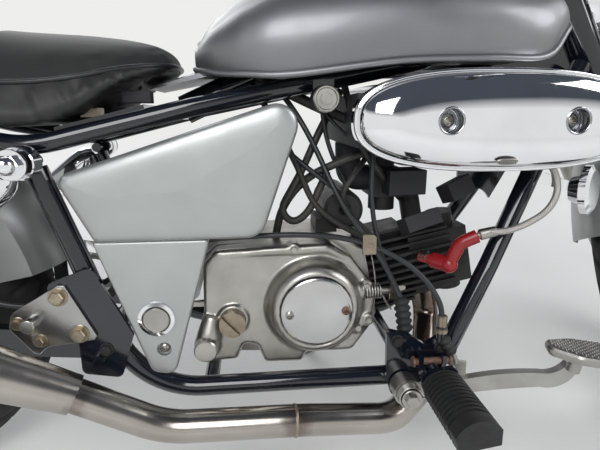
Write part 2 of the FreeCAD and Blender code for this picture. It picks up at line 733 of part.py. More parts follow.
# Chrome covers on both sides of the air box
air_covers = []
for side, name in BOTH:
    half_length, half_height = D["air_cover_length"] / 2, D["air_cover_height"] / 2
    steps = (
        # share of the depth, how far the outline draws in
        (0, 0), (0.40, 0), (0.50, 3), (0.58, 3.5), (0.78, 7), (0.92, 12), (0.98, 18), (1, 26))
    sections = []
    for share, inset in steps:
        reach = side * (float(D["air_box_half_width"]) + 0.3 + float(D["air_cover_depth"]) * share)
        place = Placement(Vector(float(D["air_cover_forward"]), reach, float(cover_level)), Rotation(X, 90))
        tall, long = half_height - inset, half_length - inset
        nose, nose_tall = long - half_height * 0.38, tall * 0.55
        sections.append((place, [
            (-nose, -nose_tall), (-long * 0.68, -tall * 0.86, "via"), (-long * 0.3, -tall),
            (0, -tall * 1.01, "via"),
            (long * 0.3, -tall), (long * 0.68, -tall * 0.86, "via"), (nose, -nose_tall), (long, 0, "via"),
            (nose, nose_tall), (long * 0.68, tall * 0.86, "via"), (long * 0.3, tall), (0, tall * 1.01, "via"),
            (-long * 0.3, tall), (-long * 0.68, tall * 0.86, "via"), (-nose, nose_tall), (-long, 0, "via")]))
    shell = loft("AirCover" + name.title(), sections, True)
    cups = []
    for number, forward in enumerate((-74, 74)):
        base = Vector(float(D["air_cover_forward"]) + forward,
                      side * float(D["air_box_half_width"] + D["air_cover_depth"] + 1), float(cover_level))
        cups.append(rod(f"AirCup{name}{number}", base, Y * -side, D["air_cup_radius"], 15))
    air_covers.append(cut("AirCoverCut" + name.title(), shell, fuse("AirCups" + name.title(), cups)))
keep(group("AirCovers", air_covers), "air_covers")

# Side covers below the seat
side_upper = (
    # x, z, radius of each corner
    (-270, 377, 10), (-307.3, 452.8, 14), (-22, 546, 20), (-80, 378, 26))
side_lower = ((-275, 378, 4), (-141, 378, 4), (-191, 203, 13), (-219, 208, 13))
panel_deep = float(D["side_panel_depth"])
side_covers = []
for side, name in BOTH:
    rise = float(D["side_panel_half_width"])
    facing = Placement(Vector(0, side * rise, 0), Rotation(X, 90))
    upper = crowned("SideUpper" + name.title(), side_upper, (
        (0, 0), (panel_deep * 0.40, 0.6), (panel_deep * 0.60, 2.6), (panel_deep * 0.76, 6.4),
        (panel_deep * 0.89, 13), (panel_deep, 26)),
        facing, -side)
    lower = crowned("SideLower" + name.title(), side_lower, (
        (-1.5, 0), (panel_deep * 0.30, 0.5), (panel_deep * 0.45, 2), (panel_deep * 0.5, 5)), facing, -side)
    lug = block("SideLug" + name.title(), (-292.2, side * 112.5, 425), (20, 11, 8))
    cap_y = rise + panel_deep * 0.5
    pivot_cap = turned("PivotCap" + name.title(), [
        (-4, 0), (5, 0), (5, 15), (3.4, 16), (4.4, 17), (3, 21), (0, 22),
                                                   (-4, 22)],
                       Placement(Vector(-208, side * cap_y, 281), Rotation(Z, 90 - 90 * side)))
    screw_cup = rod("PanelCup" + name.title(), (-202, side * (cap_y + 2), 240), Y * -side, 9, 6)
    screw = rod("PanelScrew" + name.title(), (-202, side * (cap_y - 5), 240), Y * side, 6, 4)
    side_covers.append(fuse("SideCover" + name.title(), [
        cut("SidePanels" + name.title(), fuse("SideShells" + name.title(), [upper, lower, lug]), screw_cup),
        pivot_cap, screw]))
keep(group("SideCovers", side_covers), "side_covers")


ACROSS = Rotation(Y, Z, X, "ZXY")


def across(sections, brow):
    """Tank or saddle sections that stand across the bike, local x to the left and y up: a
    flat base, bulged sides and a round top that starts at brow of the half width."""
    placed = []
    for x, tilt, half_width, low, high, shoulder, hip, foot in sections:
        tall = high - low
        level = tall * shoulder
        turn = Rotation(Y, -tilt).multiply(ACROSS)
        placed.append((Placement(Vector(float(x), 0, float(low)), turn), [
            (-half_width * foot, 0), (half_width * foot, 0), (half_width, tall * hip, "via"),
            (half_width * brow, level), (0, tall, "via"), (-half_width * brow, level),
            (-half_width, tall * hip, "via")]))
    return placed


full, base, tank_tall = D["tank_half_width"], D["tank_base"], D["tank_height"]
top = base + tank_tall
tank_back = float(D["tank_rear"])
nose_low = base + 46
# The tank's front stands along the steering axis, clear of the yokes
nose_rise = float(nose_low) - axis_foot.z
nose_x = axis_foot.x - (float(D["tank_head_gap"]) + nose_rise * math.sin(rake)) / math.cos(rake)
tank_long = nose_x + tank_back
tank_sections = (
    # x, tilt, half width, low, high, shoulder, hip, foot
    (-tank_back, 0, full * 0.42, base - 4, top - 64, 0.70, 0.40, 0.84),
    (0.07 * tank_long - tank_back, 0, full * 0.68, base - 10, top - 42, 0.72, 0.38, 0.88),
    (0.25 * tank_long - tank_back, 0, full * 0.93, base - 13, top - 12, 0.74, 0.38, 0.92),
    (0.52 * tank_long - tank_back, 0, full, base + 2, top, 0.74, 0.38, 0.92),
    (0.75 * tank_long - tank_back, 12, full * 0.98, base + 6, top - 1, 0.74, 0.38, 0.92),
    (0.91 * tank_long - tank_back, 24, full * 0.90, base + 10, top - 2, 0.74, 0.40, 0.90),
    (nose_x, D["rake_angle"], full * 0.70, nose_low, top - 6, 0.72, 0.42, 0.86))
tank_body = loft("TankBody", across(tank_sections, 0.74))
lip_tall = 3.4
tank_lip = loft("TankLip", [(place, [
    (outline[0][0] - 5, -lip_tall / 2), (outline[1][0] + 5, -lip_tall / 2), (outline[1][0] + 5, lip_tall / 2),
    (outline[0][0] - 5, lip_tall / 2)]) for place, outline in across(tank_sections, 0.74)])
tongue_tip = (-214, 13, -29, 5)
tongue_root = (5 - tank_back, 25, -20, 16)
tank_tongue = loft("TankTongue", [
    (Placement(Vector(x, 0, float(base) + low), ACROSS),
     [(-half, 0), (half, 0), (half, tall * 0.6), (0, tall, "via"), (-half, tall * 0.6)])
    for x, half, low, tall in (tongue_tip, tongue_root)])
tunnel = shape("TankTunnel", tube([spine_front + Vector(60, 0, 13), Vector(-60, 0, 580), Vector(-178, 0, 526)],
                                  [90], D["spine_radius"] + 4))
tunnel_slot = block("TankTunnelSlot", (90, 0, base - 8), (620, 152, 60), Rotation(Y, -12))
cap_x = 84
filler_neck = rod("FillerNeck", (cap_x, 0, top - 20), Z, D["fuel_cap_radius"] - 5, 22.4)
keep(cut("FuelTank", fuse("TankJoined", [tank_body, tank_lip, tank_tongue, filler_neck]),
         fuse("TankHollow", [tunnel, tunnel_slot])), "fuel_tank")
cap = turned("FuelCap", [(0, 0), (16, 0), (16, D["fuel_cap_radius"] - 6), (12, D["fuel_cap_radius"]),
                         (0, D["fuel_cap_radius"])],
             Placement(Vector(cap_x, 0, float(top) + 2.7), Rotation(X, 90)))
keep(cap, "fuel_cap")

broad, height, pillion = D["seat_half_width"], D["seat_height"], D["pillion_height"]
seat_sections = (
    # x, tilt, half width, low, high, shoulder, hip, foot
    (-177, 0, broad * 0.28, height - 39, height - 24, 0.50, 0.25, 0.92),
    (-205, 0, broad * 0.60, height - 62, height - 5, 0.50, 0.25, 0.94),
    (-262, 0, broad * 0.86, height - 92, height + 2, 0.50, 0.25, 0.96),
    (-340, 0, broad * 0.98, height - 109, height + 1, 0.50, 0.25, 0.98),
    (-425, 0, broad, height - 93, height + 8, 0.52, 0.25, 0.98),
    (-500, 0, broad * 0.94, height - 66, height + 50, 0.56, 0.28, 0.98),
    (-575, 0, broad * 0.86, height - 46, pillion - 4, 0.58, 0.30, 0.98),
    (-665, 0, broad * 0.80, height - 30, pillion, 0.58, 0.30, 0.98),
    (-760, 0, broad * 0.62, height - 20, pillion - 14, 0.58, 0.30, 0.96))
hollow_tall = 40
seat_hollow = block("SeatHollow", seat_bed + seat_lean.multVec(Vector(0, 0, -hollow_tall / 2)),
                    (360, 250, hollow_tall), seat_lean)
tongue_notch = block("TongueNotch", (-192, 0, 538), (72, 60, 60))
keep(cut("SeatSolid", loft("Seat", across(seat_sections, 0.92)),
         fuse("SeatUnder", [seat_hollow, tongue_notch])), "seat")

# Exhaust: header from the head's underside, then the long pipe to the muffler
rise = math.radians(float(D["muffler_rise"]))
flare = math.radians(float(D["muffler_flare"]))
muffler_start = Vector(-300, -168, 214)
muffler_along = Vector(-math.cos(rise) * math.cos(flare), -math.sin(flare), math.sin(rise) * math.cos(flare))
muffler_long = float(D["muffler_length"])
port_foot = on_bore(port_along, 0, -port_rise)
header_path = [port_foot, port_foot - bore_up * 47, Vector(146, -88, 144), Vector(84, -146, 138),
               Vector(-40, -160, 154), Vector(-200, -160, 156), muffler_start]
header = shape("HeaderPipe", tube(header_path, [28, 40, 60, 300, 110], D["pipe_radius"]))
muffler = part("Part::Cone", "MufflerCone", aim(muffler_start - muffler_along * 6, muffler_along),
               Radius1=D["pipe_radius"] + 3, Radius2=D["muffler_radius"], Height=muffler_long * 0.4)
muffler_can = rod("MufflerCan", muffler_start + muffler_along * (muffler_long * 0.4 - 6.5), muffler_along,
                  D["muffler_radius"], muffler_long * 0.6)
muffler_end = muffler_start + muffler_along * (muffler_long - 6.5)
outlet = rod("MufflerOutlet", muffler_end - muffler_along * D["outlet_depth"], muffler_along,
             D["outlet_radius"], D["outlet_depth"] + 1)
keep(cut("Muffler", fuse("MufflerJoined", [header, muffler, muffler_can]), outlet), "exhaust")
hanger = padded("ExhaustHanger", [(-371, 296), (-300, 337), (-273, 269), (-330, 262)], 4,
                Placement(Vector(0, -plate_side - float(D["plate_thickness"]) / 2 - 2.3, 0), Rotation()), 6)
hanger_lug = rod("HangerLug", (-345, -plate_side - 3, 288), -Y, 8, 24)
keep(fuse("HangerPlate", [hanger, hanger_lug]), "exhaust_hanger")

# Footpegs and controls
def peg_rubber(name, side):
    """A footpeg rubber: a round-topped bar with ribs across it and a plain tip."""
    long, pitch = D["peg_length"], D["peg_rib_pitch"]
    root_y = side * D["peg_root"]

    def bar(inset):
        half, rise = D["peg_width"] / 2 - inset, D["peg_height"] / 2 - inset
        return [(-half * 0.9, -rise), (half * 0.9, -rise), (half, rise * 0.1), (0, rise, "via"),
                (-half, rise * 0.1)]

    owner = doc.addObject("PartDesign::Body", name)
    features = []
    for label, inset, start, length in (("Core", 2.2, 0, long), ("Rib", 0, 3, pitch * 0.55),
                                        ("Tip", 0, long - 17, 17)):
        outline = sketch_in(owner, "XZ_Plane", bar(inset))
        outline.AttachmentOffset = Placement(Vector(0, 0, float(start)), Rotation())
        pad = owner.newObject("PartDesign::Pad", name + label)
        pad.Profile = outline
        bind(pad, "Length", length)
        features.append(pad)
    ribs = owner.newObject("PartDesign::LinearPattern", name + "Ribs")
    ribs.Originals = [features[1]]
    ribs.Direction = (next(axis for axis in owner.Origin.OriginFeatures if axis.Role == "Y_Axis"), [""])
    ribs.Reversed = True
    count = int((float(long) - 20) / float(pitch))
    ribs.Length = float(pitch) * (count - 1)
    ribs.Occurrences = count
    owner.Tip = ribs
    owner.Placement = Placement(Vector(float(D["peg_forward"]), float(root_y), float(D["peg_level"])),
                                Rotation(Z, 90 + 90 * side).multiply(Rotation(Y, 9 * side)))
    return owner


peg_brackets = []
peg_rubbers = []
peg_x, peg_z, root = float(D["peg_forward"]), float(D["peg_level"]), float(D["peg_root"])
spindle = Vector(float(D["spindle_forward"]), 0, float(D["cradle_height"]) + 1)
plate_y = half_cradle + float(D["tube_radius"]) + 3.8
for side, name in BOTH:
    corners = [(76, 254, 5), (106, 246, 6), (127, 231, 5), (147, 243, 5), (161, 224, 6), (150, 192, 8),
               (122, 184, 6),
               (114, 160, 8), (86, 160, 8), (78, 184, 6)]
    plate = padded("PegPlate" + name.title(), rounded(corners), 7,
                   Placement(Vector(0, side * plate_y, 0), Rotation()))
    stem = rod("PegStem" + name.title(), (peg_x, side * (plate_y + 3), peg_z), Y * side, 8,
               root - plate_y - 3.3)
    clevis = [block(f"PegEar{name.title()}{number}", (peg_x + ahead, side * (plate_y + 10), peg_z + 5),
                    (6, 18, 24))
              for number, ahead in enumerate((-15, 15))]
    hinge = rod("PegHinge" + name.title(), (peg_x - 22, side * (plate_y + 13), peg_z + 8), X, 4.5, 44)
    collar = padded("PegCollar" + name.title(),
                    rounded([(-23, -14, 9), (23, -14, 9), (23, 15, 9), (-23, 15, 9)]), 5,
                    Placement(Vector(peg_x, side * (root - 2.9), peg_z), Rotation(Y, -9)))
    foot = block("PegFoot" + name.title(), (98, side * 118, 197.2), (32, 14, 12))
    solids = [plate, stem, hinge, collar, foot] + clevis
    if side == RIGHT:
        solids.append(rod("CableStop", (146, -134, 238), Z, 6, 24))
        solids.append(rod("SpindlePost", spindle - Y * (plate_y + 2), -Y, 9.7, 28))
        solids.append(rod("SpindleEnd", spindle - Y * (plate_y + 28.3), -Y, 11.5, 12))
    peg_brackets.append(fuse("PegBracket" + name.title(), solids))
    peg_rubbers.append(peg_rubber("PegRubber" + name.title(), side))
keep(group("PegBrackets", peg_brackets), "footpeg_brackets")
keep(group("PegRubbers", peg_rubbers), "footpegs")

# The brake pedal swings on the post below the right footpeg
pedal_turn = Rotation(Z, -9)
hub_y = -plate_y - 14
arm_outline = [
    (-4, -13), (50, -8), (100, 2, "via"), (166, 10), (192, 14, "via"), (206, 28), (196, 44),
    (184, 32, "via"), (166, 29), (110, 25, "via"), (56, 12), (-4, 11)]
pedal_arm = padded("PedalArm", arm_outline, 11, Placement(spindle + Y * hub_y, pedal_turn))
pedal_hub = rod("PedalHub", spindle - Y * (plate_y + 6), -Y, 18, 22)
pedal_bore = rod("PedalBore", spindle - Y * (plate_y + 5), -Y, 10, 25)
pad_place = Placement(Vector(302, -187, 244), Rotation(Z, -20).multiply(Rotation(Y, 3)))
pedal_pad = crowned("PedalPad", ((-42, -10, 9), (-10, -25, 16), (36, -24, 12), (36, 24, 12), (-10, 25, 16),
                                 (-42, 10, 9)), ((-9, 4), (-4, 0.6), (0, 0), (3, 1.5)), pad_place)
pad_neck = rod_between("PedalPadNeck", (296, -181, 215), (298, -184, 240), 8)
keep(cut("BrakePedal", fuse("BrakePedalSolid", [pedal_arm, pedal_hub, pedal_pad, pad_neck]), pedal_bore),
     "brake_pedal")
lever_arm = padded("GearArm", [
    (-50, 222), (-44, 206), (-30, 207), (110, 218), (196, 213), (214, 221), (212, 231),
                                (196, 225), (110, 230), (-38, 226)],
                   8, Placement(Vector(0, 152, 0), Rotation()), 2)
lever_shaft = rod("GearShaft", (-40, 80.6, 215), Y, 7, 76)
lever_toe = rod("GearToe", (206, 150, 219), Y, 9, 40)
keep(fuse("GearLever", [lever_arm, lever_shaft, lever_toe]), "gear_lever")

cable_points = [(-597.4, -71, 344), (-556, -74, 350), (-498, -84, 336), (-440, -92, 308), (-384, -92, 288),
                (-330, -90, 290), (-282, -86, 312), (-236, -84, 340), (-190, -86, 360), (-143, -94, 370),
                (-90, -100, 374), (-32, -101, 375), (20, -101, 370), (62, -103, 358), (102, -112, 338),
                (130, -124, 312), (144, -132, 286), (146, -134, 262.3)]
keep(shape("BrakeCable", tube(cable_points, largest_bends(cable_points), D["cable_radius"])), "brake_cable")
lead_start = cap_end + plug_tail * 0.3
coil_centre = Vector(248, -(float(D["plate_thickness"]) / 2 + 22.3), float(cover_level) - 28)
coil_tip = coil_centre - Y * 32
lead_points = [lead_start, lead_start + plug_tail * 16, (236, -104, 372), (262, -108, 383), (287, -108, 399),
               (300, -105, 420), (299, -101, 442), (288, -97, 462), (268, -88, 477),
               coil_tip + Vector(2, -20, -1),
               coil_tip - Y * 0.3]
keep(shape("PlugLead", tube(lead_points, largest_bends(lead_points), D["lead_radius"])), "plug_lead")
coil_block = block("CoilBlock", coil_centre, (44, 44, 34))
coil_tower = rod("CoilTower", coil_tip + Y * 11, -Y, 8, 11)
keep(fuse("IgnitionCoil", [coil_block, coil_tower]), "ignition_coil")

switch = turned("IgnitionSwitch", [(0, 0), (24, 0), (24, 15), (0, 17)],
                Placement(Vector(0, -70, 538), Rotation(Z, 180)))
keep(switch, "ignition_switch")

# Swingarm, shocks and chain
arm_gap = float(D["arm_half_gap"])
arms = [rod("PivotTube", pivot - Y * (arm_gap + 8), Y, D["pivot_radius"], 2 * (arm_gap + 8)),
        rod("PivotBolt", pivot - Y * (plate_side + 9), Y, 7, 2 * (plate_side + 9))]
arm_vector = rear_axle - pivot
arm_turn = Rotation(Y, math.degrees(math.atan2(arm_vector.z, -arm_vector.x)))
for side, name in BOTH:
    middle = (pivot + rear_axle) / 2 + Vector(-17, side * arm_gap, 0)
    arms.append(block("Arm" + name.title(), middle,
                      (arm_vector.Length + 50, D["arm_width"] - 4, D["arm_height"]), arm_turn))
    low_eye = Vector(-float(D["shock_low_back"]), side * (arm_gap + 4), float(D["shock_low_height"]))
    arms.append(rod("LowStud" + name.title(), low_eye, Y * side, 7, 64))
arms.append(block("ArmBridge", pivot + Vector(-60, 0, 6), (30, 2 * arm_gap, 24), arm_turn))
arms.append(rod("RearAxle", rear_axle - Y * 106, Y, D["axle_radius"], 212))
keep(fuse("Swingarm", arms), "swingarm")

shocks = []
for side, name in BOTH:
    shock_y = side * float(D["shock_half_width"])
    high = shock_eye + Y * shock_y
    low = Vector(-float(D["shock_low_back"]), shock_y, float(D["shock_low_height"]))
    along = (high - low)
    reach = along.Length
    along.normalize()
    turn = Rotation(Y, along)
    coil = float(D["spring_radius"])
    wire = float(D["spring_wire"])
    outline = [(16, 0), (16, 13), (34, 13), (34, coil + 2), (40, coil + 2), (40, coil - wire)]
    pitch = 13
    turns = int((reach * 0.62 - 44) / pitch)
    for number in range(turns):
        base_y = 40 + number * pitch
        outline += [(base_y + 2, coil - wire), (base_y + pitch / 2, coil, "via"),
                    (base_y + pitch - 2, coil - wire)]
    end = 40 + turns * pitch
    outline += [(end, coil - wire), (end, coil + 2), (end + 6, coil + 2), (end + 6, coil - 1),
                (reach - 16, coil - 1), (reach - 16, 0)]
    body = turned("ShockBody" + name.title(), outline, Placement(low, turn))
    eyes = []
    for where, centre in (("Low", low), ("High", high)):
        eye = turned(f"Shock{where}Eye" + name.title(), ring(22, 7.3, 18), Placement(centre, Rotation()))
        eyes.append(eye)
    shocks.append(fuse("Shock" + name.title(), [body] + eyes))
keep(group("RearShocks", shocks), "rear_shocks")

drive = Vector(-105, 0, 246)
chain_at = float(D["chain_line"])


def chain_loop(name, radius_drive, radius_rear, width):
    """A flat band round both sprockets, as an outer loop."""
    gap = rear_axle - drive
    reach = math.hypot(gap.x, gap.z)
    lean = math.atan2(gap.z, gap.x)
    open_angle = math.acos((radius_drive - radius_rear) / reach)
    corners = []
    for centre, radius in ((drive, radius_drive), (rear_axle, radius_rear)):
        corners.append([Vector(centre.x + radius * math.cos(lean + sign * open_angle), 0,
                               centre.z + radius * math.sin(lean + sign * open_angle)) for sign in (1, -1)])
    front_via = drive - Vector(math.cos(lean), 0, math.sin(lean)) * radius_drive
    rear_via = rear_axle + Vector(math.cos(lean), 0, math.sin(lean)) * radius_rear
    edges = [Part.LineSegment(corners[0][0], corners[1][0]).toShape(),
             Part.Arc(corners[1][0], rear_via, corners[1][1]).toShape(),
             Part.LineSegment(corners[1][1], corners[0][1]).toShape(),
             Part.Arc(corners[0][1], front_via, corners[0][0]).toShape()]
    face = Part.Face(Part.Wire(edges))
    face.translate(Vector(0, chain_at - width / 2, 0))
    return face.extrude(Vector(0, width, 0))


half_chain = float(D["chain_height"]) / 2
drive_r, rear_r = float(D["drive_sprocket_radius"]), float(D["sprocket_radius"])
chain_wide = float(D["chain_width"])
loop = chain_loop("Outer", drive_r + half_chain, rear_r + half_chain, chain_wide).cut(
    chain_loop("Inner", drive_r - half_chain, rear_r - half_chain, chain_wide))
drive_sprocket = rod("DriveSprocket", drive + Y * (chain_at - 3), Y,
                     D["drive_sprocket_radius"] - D["chain_height"] / 2 - 1, 6)
keep(group("DriveChain", [shape("ChainLoop", loop), drive_sprocket]), "drive_chain")
guard = padded("ChainGuard", [
    (-330, 326), (-600, 368), (-700, 362), (-702, 350), (-600, 357), (-330, 315)], 17,
               Placement(Vector(0, chain_at + 6, 0), Rotation()), 3)
guard_tabs = [block(f"GuardTab{number}", (x, chain_at + 12, (low + high) / 2), (22, 4, high - low))
              for number, (x, low, high) in enumerate(((-400, 261.8, 330), (-560, 276.2, 352)))]
keep(fuse("ChainGuardAll", [guard] + guard_tabs), "chain_guard")


def fender(name, axle, inner, half_width, drop, first, last):
    """A mudguard that follows the wheel: a round crown with straight skirts, swept about the axle."""
    wall = float(D["fender_wall"])
    crown = float(inner)
    half = float(half_width)
    low = crown - float(drop)

    def half_ring(extra):
        edges = []
        points = [Vector(0, -half - extra, low), Vector(0, -half - extra, crown - 22),
                  Vector(0, 0, crown + extra), Vector(0, half + extra, crown - 22),
                  Vector(0, half + extra, low)]
        edges.append(Part.LineSegment(points[0], points[1]).toShape())
        edges.append(Part.Arc(points[1], points[2], points[3]).toShape())
        edges.append(Part.LineSegment(points[3], points[4]).toShape())
        return edges, points

    inside, inner_points = half_ring(0)
    outside, outer_points = half_ring(wall)
    wire = Part.Wire(inside + [Part.LineSegment(inner_points[4], outer_points[4]).toShape()]
                     + list(reversed(outside))
                     + [Part.LineSegment(outer_points[0], inner_points[0]).toShape()])
    face = Part.Face(wire)
    face.rotate(Vector(), Y, 90 - first)
    solid = face.revolve(Vector(), Y, first - last)
    solid.translate(axle)
    return solid


rear_inner = float(D["rear_tyre_radius"] + D["rear_fender_gap"])
rear_fender = shape("RearFenderShell", fender("RearFender", rear_axle, rear_inner, D["rear_fender_half_width"],
                                              D["rear_fender_drop"], 11, 196))
keep(rear_fender, "rear_fender")
front_inner = float(D["front_tyre_radius"] + D["front_fender_gap"])
front_fender = shape("FrontFenderShell", fender("FrontFender", front_axle, front_inner,
                                                D["front_fender_half_width"], D["front_fender_drop"], 32, 168))
fender_lugs = []
for side, name in BOTH:
    inner_side = float(D["front_fender_half_width"]) + 1
    outer_side = float(D["fork_half_width"] - D["slider_radius"]) - 0.3
    fender_lugs.append(block("FenderLug" + name.title(),
                             fork(D["fork_offset"], side * (inner_side + outer_side) / 2, 276),
                             (26, outer_side - inner_side, 26), fork_turn))
keep(fuse("FrontFenderAll", [front_fender] + fender_lugs), "front_fender", True)

tail_angle = math.radians(158)
tail_out = Vector(math.cos(tail_angle), 0, math.sin(tail_angle))
lamp = turned("TailLamp", [(0, 0), (0, 40), (14, 40), (30, 30), (38, 0)],
              Placement(rear_axle + tail_out * (rear_inner + float(D["fender_wall"]) + 0.3),
                        Rotation(Y, tail_out)))
keep(lamp, "tail_lamp")
plate_centre = rear_axle + Vector(-rear_inner - 30, 0, 20)
plate = block("NumberPlateSheet", plate_centre, (2, 150, 110), Rotation(Y, -12))
plate_arm = block("PlateArm", plate_centre + Vector(13.6, 0, 0), (25.2, 40, 16), Rotation(Y, -12))
keep(fuse("NumberPlate", [plate, plate_arm]), "number_plate")


def indicator(name, base, side, face):
    """A round turn lamp on a short stem."""
    stem = rod(name + "Stem", base, Y * side, 5, 62)
    radius = D["indicator_radius"]
    bowl = turned(name + "Bowl", [(-18, 0), (-16, radius - 10), (6, radius), (14, radius), (22, 0)],
                  Placement(base + Vector(0, side * (46 + float(radius)), 0), Rotation(Y, Vector(face, 0, 0))))
    return fuse(name, [stem, bowl])


skirt = float(D["rear_fender_half_width"] + D["fender_wall"]) + 0.3
rear_turn = [indicator("RearTurn" + name.title(), Vector(-790, side * skirt, 488), side, -1)
             for side, name in BOTH]
keep(group("RearTurnLamps", rear_turn), "rear_indicators")

# Steered parts, upright and straight ahead
yokes = []
for name, low in (("Lower", D["yoke_low"]), ("Upper", D["yoke_high"])):
    height_s = float(low)
    half = float(D["fork_half_width"])
    thick = float(D["yoke_thickness"])
    outline = [(-24, -26), (20, -half - 24), (70, -half - 24), (70, half + 24), (20, half + 24), (-24, 26)]
    plane = Placement(fork(0, 0, height_s + thick / 2), fork_turn)
    yokes.append(padded(name + "Yoke", outline, thick, plane, 8, "XY_Plane"))
stem = rod("SteeringStem", fork(0, 0, float(D["yoke_low"])), axis_up, D["stem_radius"],
           float(D["yoke_high"] - D["yoke_low"]) + 4)
legs_high = float(D["yoke_high"] + D["yoke_thickness"])
offset = float(D["fork_offset"])
leg_sockets = [rod("Socket" + name.title(), fork(offset, side * half, float(D["yoke_low"]) - 1), axis_up,
                   D["stanchion_radius"] + 0.3, 240) for side, name in BOTH]
keep(cut("ForkYokes", fuse("YokesJoined", yokes + [stem]), fuse("LegSockets", leg_sockets)),
     "fork_yokes", True)

for side, name in BOTH:
    slider_long = float(D["slider_length"])
    slider = turned("Slider" + name.title(), [
        (-34, 0), (-34, 14), (-20, 18), (slider_long - 60, 18), (slider_long - 40, D["slider_radius"]),
        (slider_long, D["slider_radius"]), (slider_long, 0)],
        Placement(fork(offset, side * half, 0), Rotation(Y, axis_up)))
    stanchion = rod("Stanchion" + name.title(), fork(offset, side * half, slider_long - 10), axis_up,
                    D["stanchion_radius"], legs_high + 8 - slider_long + 10)
    lug = block("AxleLug" + name.title(), fork(offset + 12, side * half, 0), (40, 24, 34), fork_turn)
    parts = [slider, stanchion, lug]
    if side == RIGHT:
        parts.append(rod("FrontAxle", front_axle - Y * half, Y, D["axle_radius"], 2 * half - 14.4))
    keep(fuse("ForkLeg" + name.title(), parts), "fork_leg_" + name, True)
caliper = fuse("CaliperSolid", [
    block("Caliper", front_axle + Vector(-78, 47.2, 74), (62, 31, 44), Rotation(Y, 45)),
    block("CaliperLug", fork(offset, 62, 104), (22, 9.4, 34), fork_turn)])
slot = block("CaliperSlot", front_axle + Vector(-78 + 14, 46, 74 - 14),
             (90, D["disc_thickness"] + 6, 80), Rotation(Y, 45))
keep(cut("BrakeCaliper", caliper, slot), "brake_caliper", True)

lamp_centre = fork(112, 0, 452)
headlamp = turned("Headlamp", [
    (-D["lamp_depth"] * 0.66, 0), (-D["lamp_depth"] * 0.62, 24), (-D["lamp_depth"] * 0.3, 62),
    (0, D["lamp_radius"]), (10, D["lamp_radius"] + 3), (18, D["lamp_radius"]), (26, D["lamp_radius"] * 0.6),
    (30, 0)], Placement(lamp_centre, Rotation(Y, Vector(1, 0, -0.04))))
keep(headlamp, "headlamp", True)

bar_half = float(D["bar_half_width"])
grip_long = float(D["grip_length"])
bar_points = (
    # x, y, z along the left half of the handlebar
    (296, 105, 822), (232, 186, 896), (146, bar_half - 2, 886))
left_half = [Vector(x, y, z) for x, y, z in bar_points]
right_half = [Vector(x, -y, z) for x, y, z in reversed(bar_points)]
bar = shape("BarTube", tube(right_half + left_half, [50, 45, 45, 50], D["bar_radius"]))
risers = [shape(f"Riser{number}", tube([fork(16, y, legs_high + 0.3), fork(16, y, legs_high + 24),
                                        Vector(296, y, 822)], [20], 11))
          for number, y in enumerate((-38, 38))]
keep(fuse("HandlebarAll", [bar] + risers), "handlebar", True)

bar_tip = left_half[-1]
bar_inner = left_half[-2]
grips = []
levers = []
perches = {}
for side, name in BOTH:
    tip = Vector(bar_tip.x, side * bar_tip.y, bar_tip.z)
    inward = (Vector(bar_inner.x, side * bar_inner.y, bar_inner.z) - tip).normalize()
    grips.append(cut("Grip" + name.title(),
                     rod("GripBody" + name.title(), tip - inward * 6, inward, D["grip_radius"], grip_long),
                     rod("GripBore" + name.title(), tip - inward * 0.3, inward, D["bar_radius"] + 0.3,
                         grip_long + 8)))
    pod_start = tip + inward * (grip_long - 5)
    pod = cut("Pod" + name.title(), rod("PodBody" + name.title(), pod_start, inward, 20, 34),
              rod("PodBore" + name.title(), pod_start - inward, inward, D["bar_radius"] + 0.3, 36))
    ahead = Vector(1, 0, 0.05)
    ahead = (ahead - inward * ahead.dot(inward)).normalize()
    perch = pod_start + inward * 17 + ahead * 20.3
    knuckle = perch + ahead * 22
    perches[side] = perch
    blade_end = tip + ahead * 48 - inward * 2
    blade_path = [knuckle, knuckle - inward * 40 + ahead * 14, blade_end]
    blade = shape("Blade" + name.title(), tube(blade_path, [40], 6))
    levers.append(fuse("Lever" + name.title(), [pod, rod_between("Perch" + name.title(), perch - ahead * 6,
                                                                 knuckle + ahead * 4, 9), blade]))
keep(group("Grips", grips), "grips", True)
keep(group("Levers", levers), "bar_controls", True)

mirrors = []
for side, name in BOTH:
    root = perches[side] + Z * 12.4
    knee = root + Vector(6, side * 12, 62)
    eye = knee + Vector(-26, side * 22, 12)
    stalk = shape("Stalk" + name.title(), tube([root, knee, eye + Vector(6, 0, 6)], [12], 5))
    glass = turned("Glass" + name.title(), [
        (-12, 0), (-8, D["mirror_radius"] - 18), (0, D["mirror_radius"] - 2), (8, D["mirror_radius"]), (10, 0)],
        Placement(eye + Vector(0, 0, 22), Rotation(Y, Vector(-1, side * 0.12, 0.06))))
    mirrors.append(fuse("Mirror" + name.title(), [stalk, glass]))
keep(group("Mirrors", mirrors), "mirrors", True)

meter = turned("Meter", [(-40, 0), (-34, D["meter_radius"] - 12), (0, D["meter_radius"] - 2),
                         (12, D["meter_radius"]), (16, D["meter_radius"] - 4), (16, 0)],
               Placement(fork(104, 0, legs_high + 62), Rotation(Y, Vector(-0.62, 0, 0.8))))
meter_arm = shape("MeterArm", tube([fork(58, 0, legs_high + 0.3), fork(58, 0, legs_high + 16),
                                    fork(104, 0, legs_high + 40)], [12], 6))
keep(fuse("Speedometer", [meter, meter_arm]), "speedometer", True)
lamp_ears = []
for side, name in BOTH:
    lamp_ears.append(padded("LampEar" + name.title(),
                            [(429.5, 654), (384.5, 732), (424, 733), (456, 716), (472, 692), (458, 668)], 4,
                            Placement(Vector(0, side * (float(D["lamp_radius"]) + 5.4), 0), Rotation())))
keep(group("LampEars", lamp_ears), "headlamp_brackets", True)
front_turn = [indicator("FrontTurn" + name.title(), Vector(440, side * (float(D["lamp_radius"]) + 7.8), 690),
                        side, 1) for side, name in BOTH]
